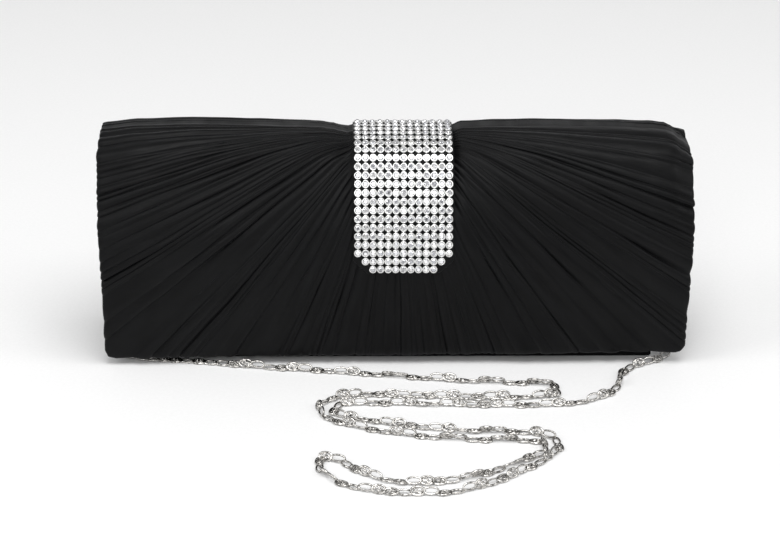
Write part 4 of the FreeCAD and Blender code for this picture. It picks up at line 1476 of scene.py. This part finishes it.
    def laid(self, places: list[Matrix]) -> list[Matrix]:
        """Let every link that lies on the surface down onto it."""
        half, side = self.link_length / 2 - self.wire, self.width / 2 - self.wire
        rim = [Vector((half * math.cos(t), side * math.sin(t), 0.0))
               for t in (2 * math.pi * k / 16 for k in range(16))]
        settled = []
        for place in places:
            lowest = min((place @ corner).z for corner in rim) - self.wire
            drop = lowest - 0.02 * MM
            high = place.translation.z
            if high < 3.2 * MM or lowest < 0.0:
                place = Matrix.Translation((0.0, 0.0, -drop)) @ place
            settled.append(place)
        return settled

    def build(self, with_pieces: list) -> None:
        """Args:
            with_pieces: The hooks at its two ends; not used.
        """
        path = self.centreline()
        places = self.laid(self.link_places(path))
        ends = self.loose_ends
        middle = scatter("chain_links", self.link_pattern(), places[ends:-ends])
        declare(middle, self.finishes.chain, "silver_chain", "chain")
        for side, chosen in (("left", places[:ends]), ("right", places[-ends:])):
            end = scatter(f"chain_end_{side}", self.link_pattern(), chosen)
            dress(end, self.finishes.chain)
            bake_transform(end)
        trim = self.pitch * ends
        kept, run = [], 0.0
        total = sum((b - a).length for a, b in zip(path, path[1:]))
        for first, second in zip(path, path[1:]):
            run += (second - first).length
            if trim - self.pitch / 2 <= run <= total - trim + self.pitch / 2:
                kept.append(second)
        log.info("chain of %d links, %.0f mm long", len(places), total / MM)


# ---------------------------------------------------------------- the studio

@dataclass
class Studio:
    """Paper sweep, soft lights and the camera."""

    finishes: Finishes
    target: Point = (-2.3 * MM, 0.0, 32.2 * MM)
    distance: float = 1.0
    pitch: float = 25.0
    yaw: float = 1.5
    roll: float = 0.56
    lens: float = 103.0

    def sweep(self) -> None:
        """A floor that rises in one soft curve behind the bag."""
        clear_selection()
        bpy.ops.mesh.primitive_plane_add(size=1.0, location=(0.0, 0.0, 0.0))
        paper = bpy.context.object
        paper.name = "studio_sweep"
        paper.scale = (7.0, 4.4, 1.0)
        paper.location = (0.0, 0.0, -0.05 * MM)
        settle(paper)
        only(paper)
        bpy.ops.object.mode_set(mode="EDIT")
        bpy.ops.mesh.select_mode(type="EDGE")
        pick("edges", lambda edge: all(v.co.y > 1.0 for v in edge.verts))
        bpy.ops.mesh.extrude_region_move(TRANSFORM_OT_translate={"value": (0.0, 0.0, 2.6)})
        pick("edges", lambda edge: all(v.co.y > 1.0 and v.co.z < 0.1 for v in edge.verts))
        bpy.ops.mesh.bevel(offset=1.0, segments=16, affect="EDGES")
        bpy.ops.object.mode_set(mode="OBJECT")
        bpy.ops.object.shade_smooth()
        dress(paper, self.finishes.paper)

    def light(self, name: str, place: Point, aim: Point, size: float, power: float) -> None:
        """One soft box, turned towards a point."""
        lamp = bpy.data.lights.new(name, "AREA")
        lamp.shape, lamp.size, lamp.energy = "SQUARE", size, power
        holder = bpy.data.objects.new(name, lamp)
        bpy.context.collection.objects.link(holder)
        holder.location = place
        holder.rotation_euler = (Vector(aim) - Vector(place)).to_track_quat("-Z", "Y").to_euler()

    def lights(self) -> None:
        """A wide top light, side and front lights and an even white surround."""
        self.light("top_box", (0.1, -0.45, 1.5), (0.0, 0.05, 0.0), 1.1, 14.5)
        self.light("left_box", (-1.3, -0.5, 1.0), (0.0, 0.0, 0.04), 0.7, 6.0)
        self.light("right_box", (1.4, -0.4, 0.9), (0.0, 0.0, 0.04), 0.7, 4.5)
        self.light("front_box", (-0.2, -1.7, 1.0), (0.0, 0.0, 0.04), 0.7, 7.0)
        world = bpy.data.worlds.new("studio_air")
        bpy.context.scene.world = world
        world.use_nodes = True
        air = world.node_tree.nodes["Background"]
        air.inputs["Color"].default_value = (1.0, 1.0, 1.0, 1.0)
        air.inputs["Strength"].default_value = 0.40
        view = bpy.context.scene.view_settings
        view.view_transform = "Standard"
        view.look = "None"

    def camera(self) -> None:
        """The camera, a little left of the middle and above the bag."""
        down, side = math.radians(self.pitch), math.radians(self.yaw)
        forward = Vector((math.sin(side) * math.cos(down), math.cos(side) * math.cos(down), -math.sin(down)))
        lens = bpy.data.cameras.new("studio_camera")
        lens.lens, lens.sensor_width = self.lens, 36.0
        lens.clip_start, lens.clip_end = 0.01, 20.0
        holder = bpy.data.objects.new("studio_camera", lens)
        bpy.context.collection.objects.link(holder)
        holder.location = Vector(self.target) - forward * self.distance
        turn = forward.to_track_quat("-Z", "Y").to_matrix() @ Matrix.Rotation(math.radians(self.roll), 3, "Z")
        holder.rotation_euler = turn.to_euler()
        bpy.context.scene.camera = holder

    def build(self) -> None:
        """Set up the whole studio."""
        self.camera()
        self.sweep()
        self.lights()
        log.info("studio")


def main() -> None:
    """Build the bag, piece by piece, in the frame that the CAD model gives."""
    logging.basicConfig(level=logging.INFO, format="%(name)s: %(message)s")
    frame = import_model()
    finishes = Finishes()
    line = FlapLine()
    nodes = frame["nodes"]
    Studio(finishes).build()
    hooks = [nodes[f"{kind}_{side}"] for kind in ("hook", "lever", "pin") for side in ("left", "right")]
    ScrollChain(finishes).build(hooks)
    PleatedFlap(line, finishes).build()
    CrystalStrap(line, finishes).build()
    BagBody(line, finishes).build()
    Hardware(finishes, nodes).build()


if __name__ == "__main__":
    main()
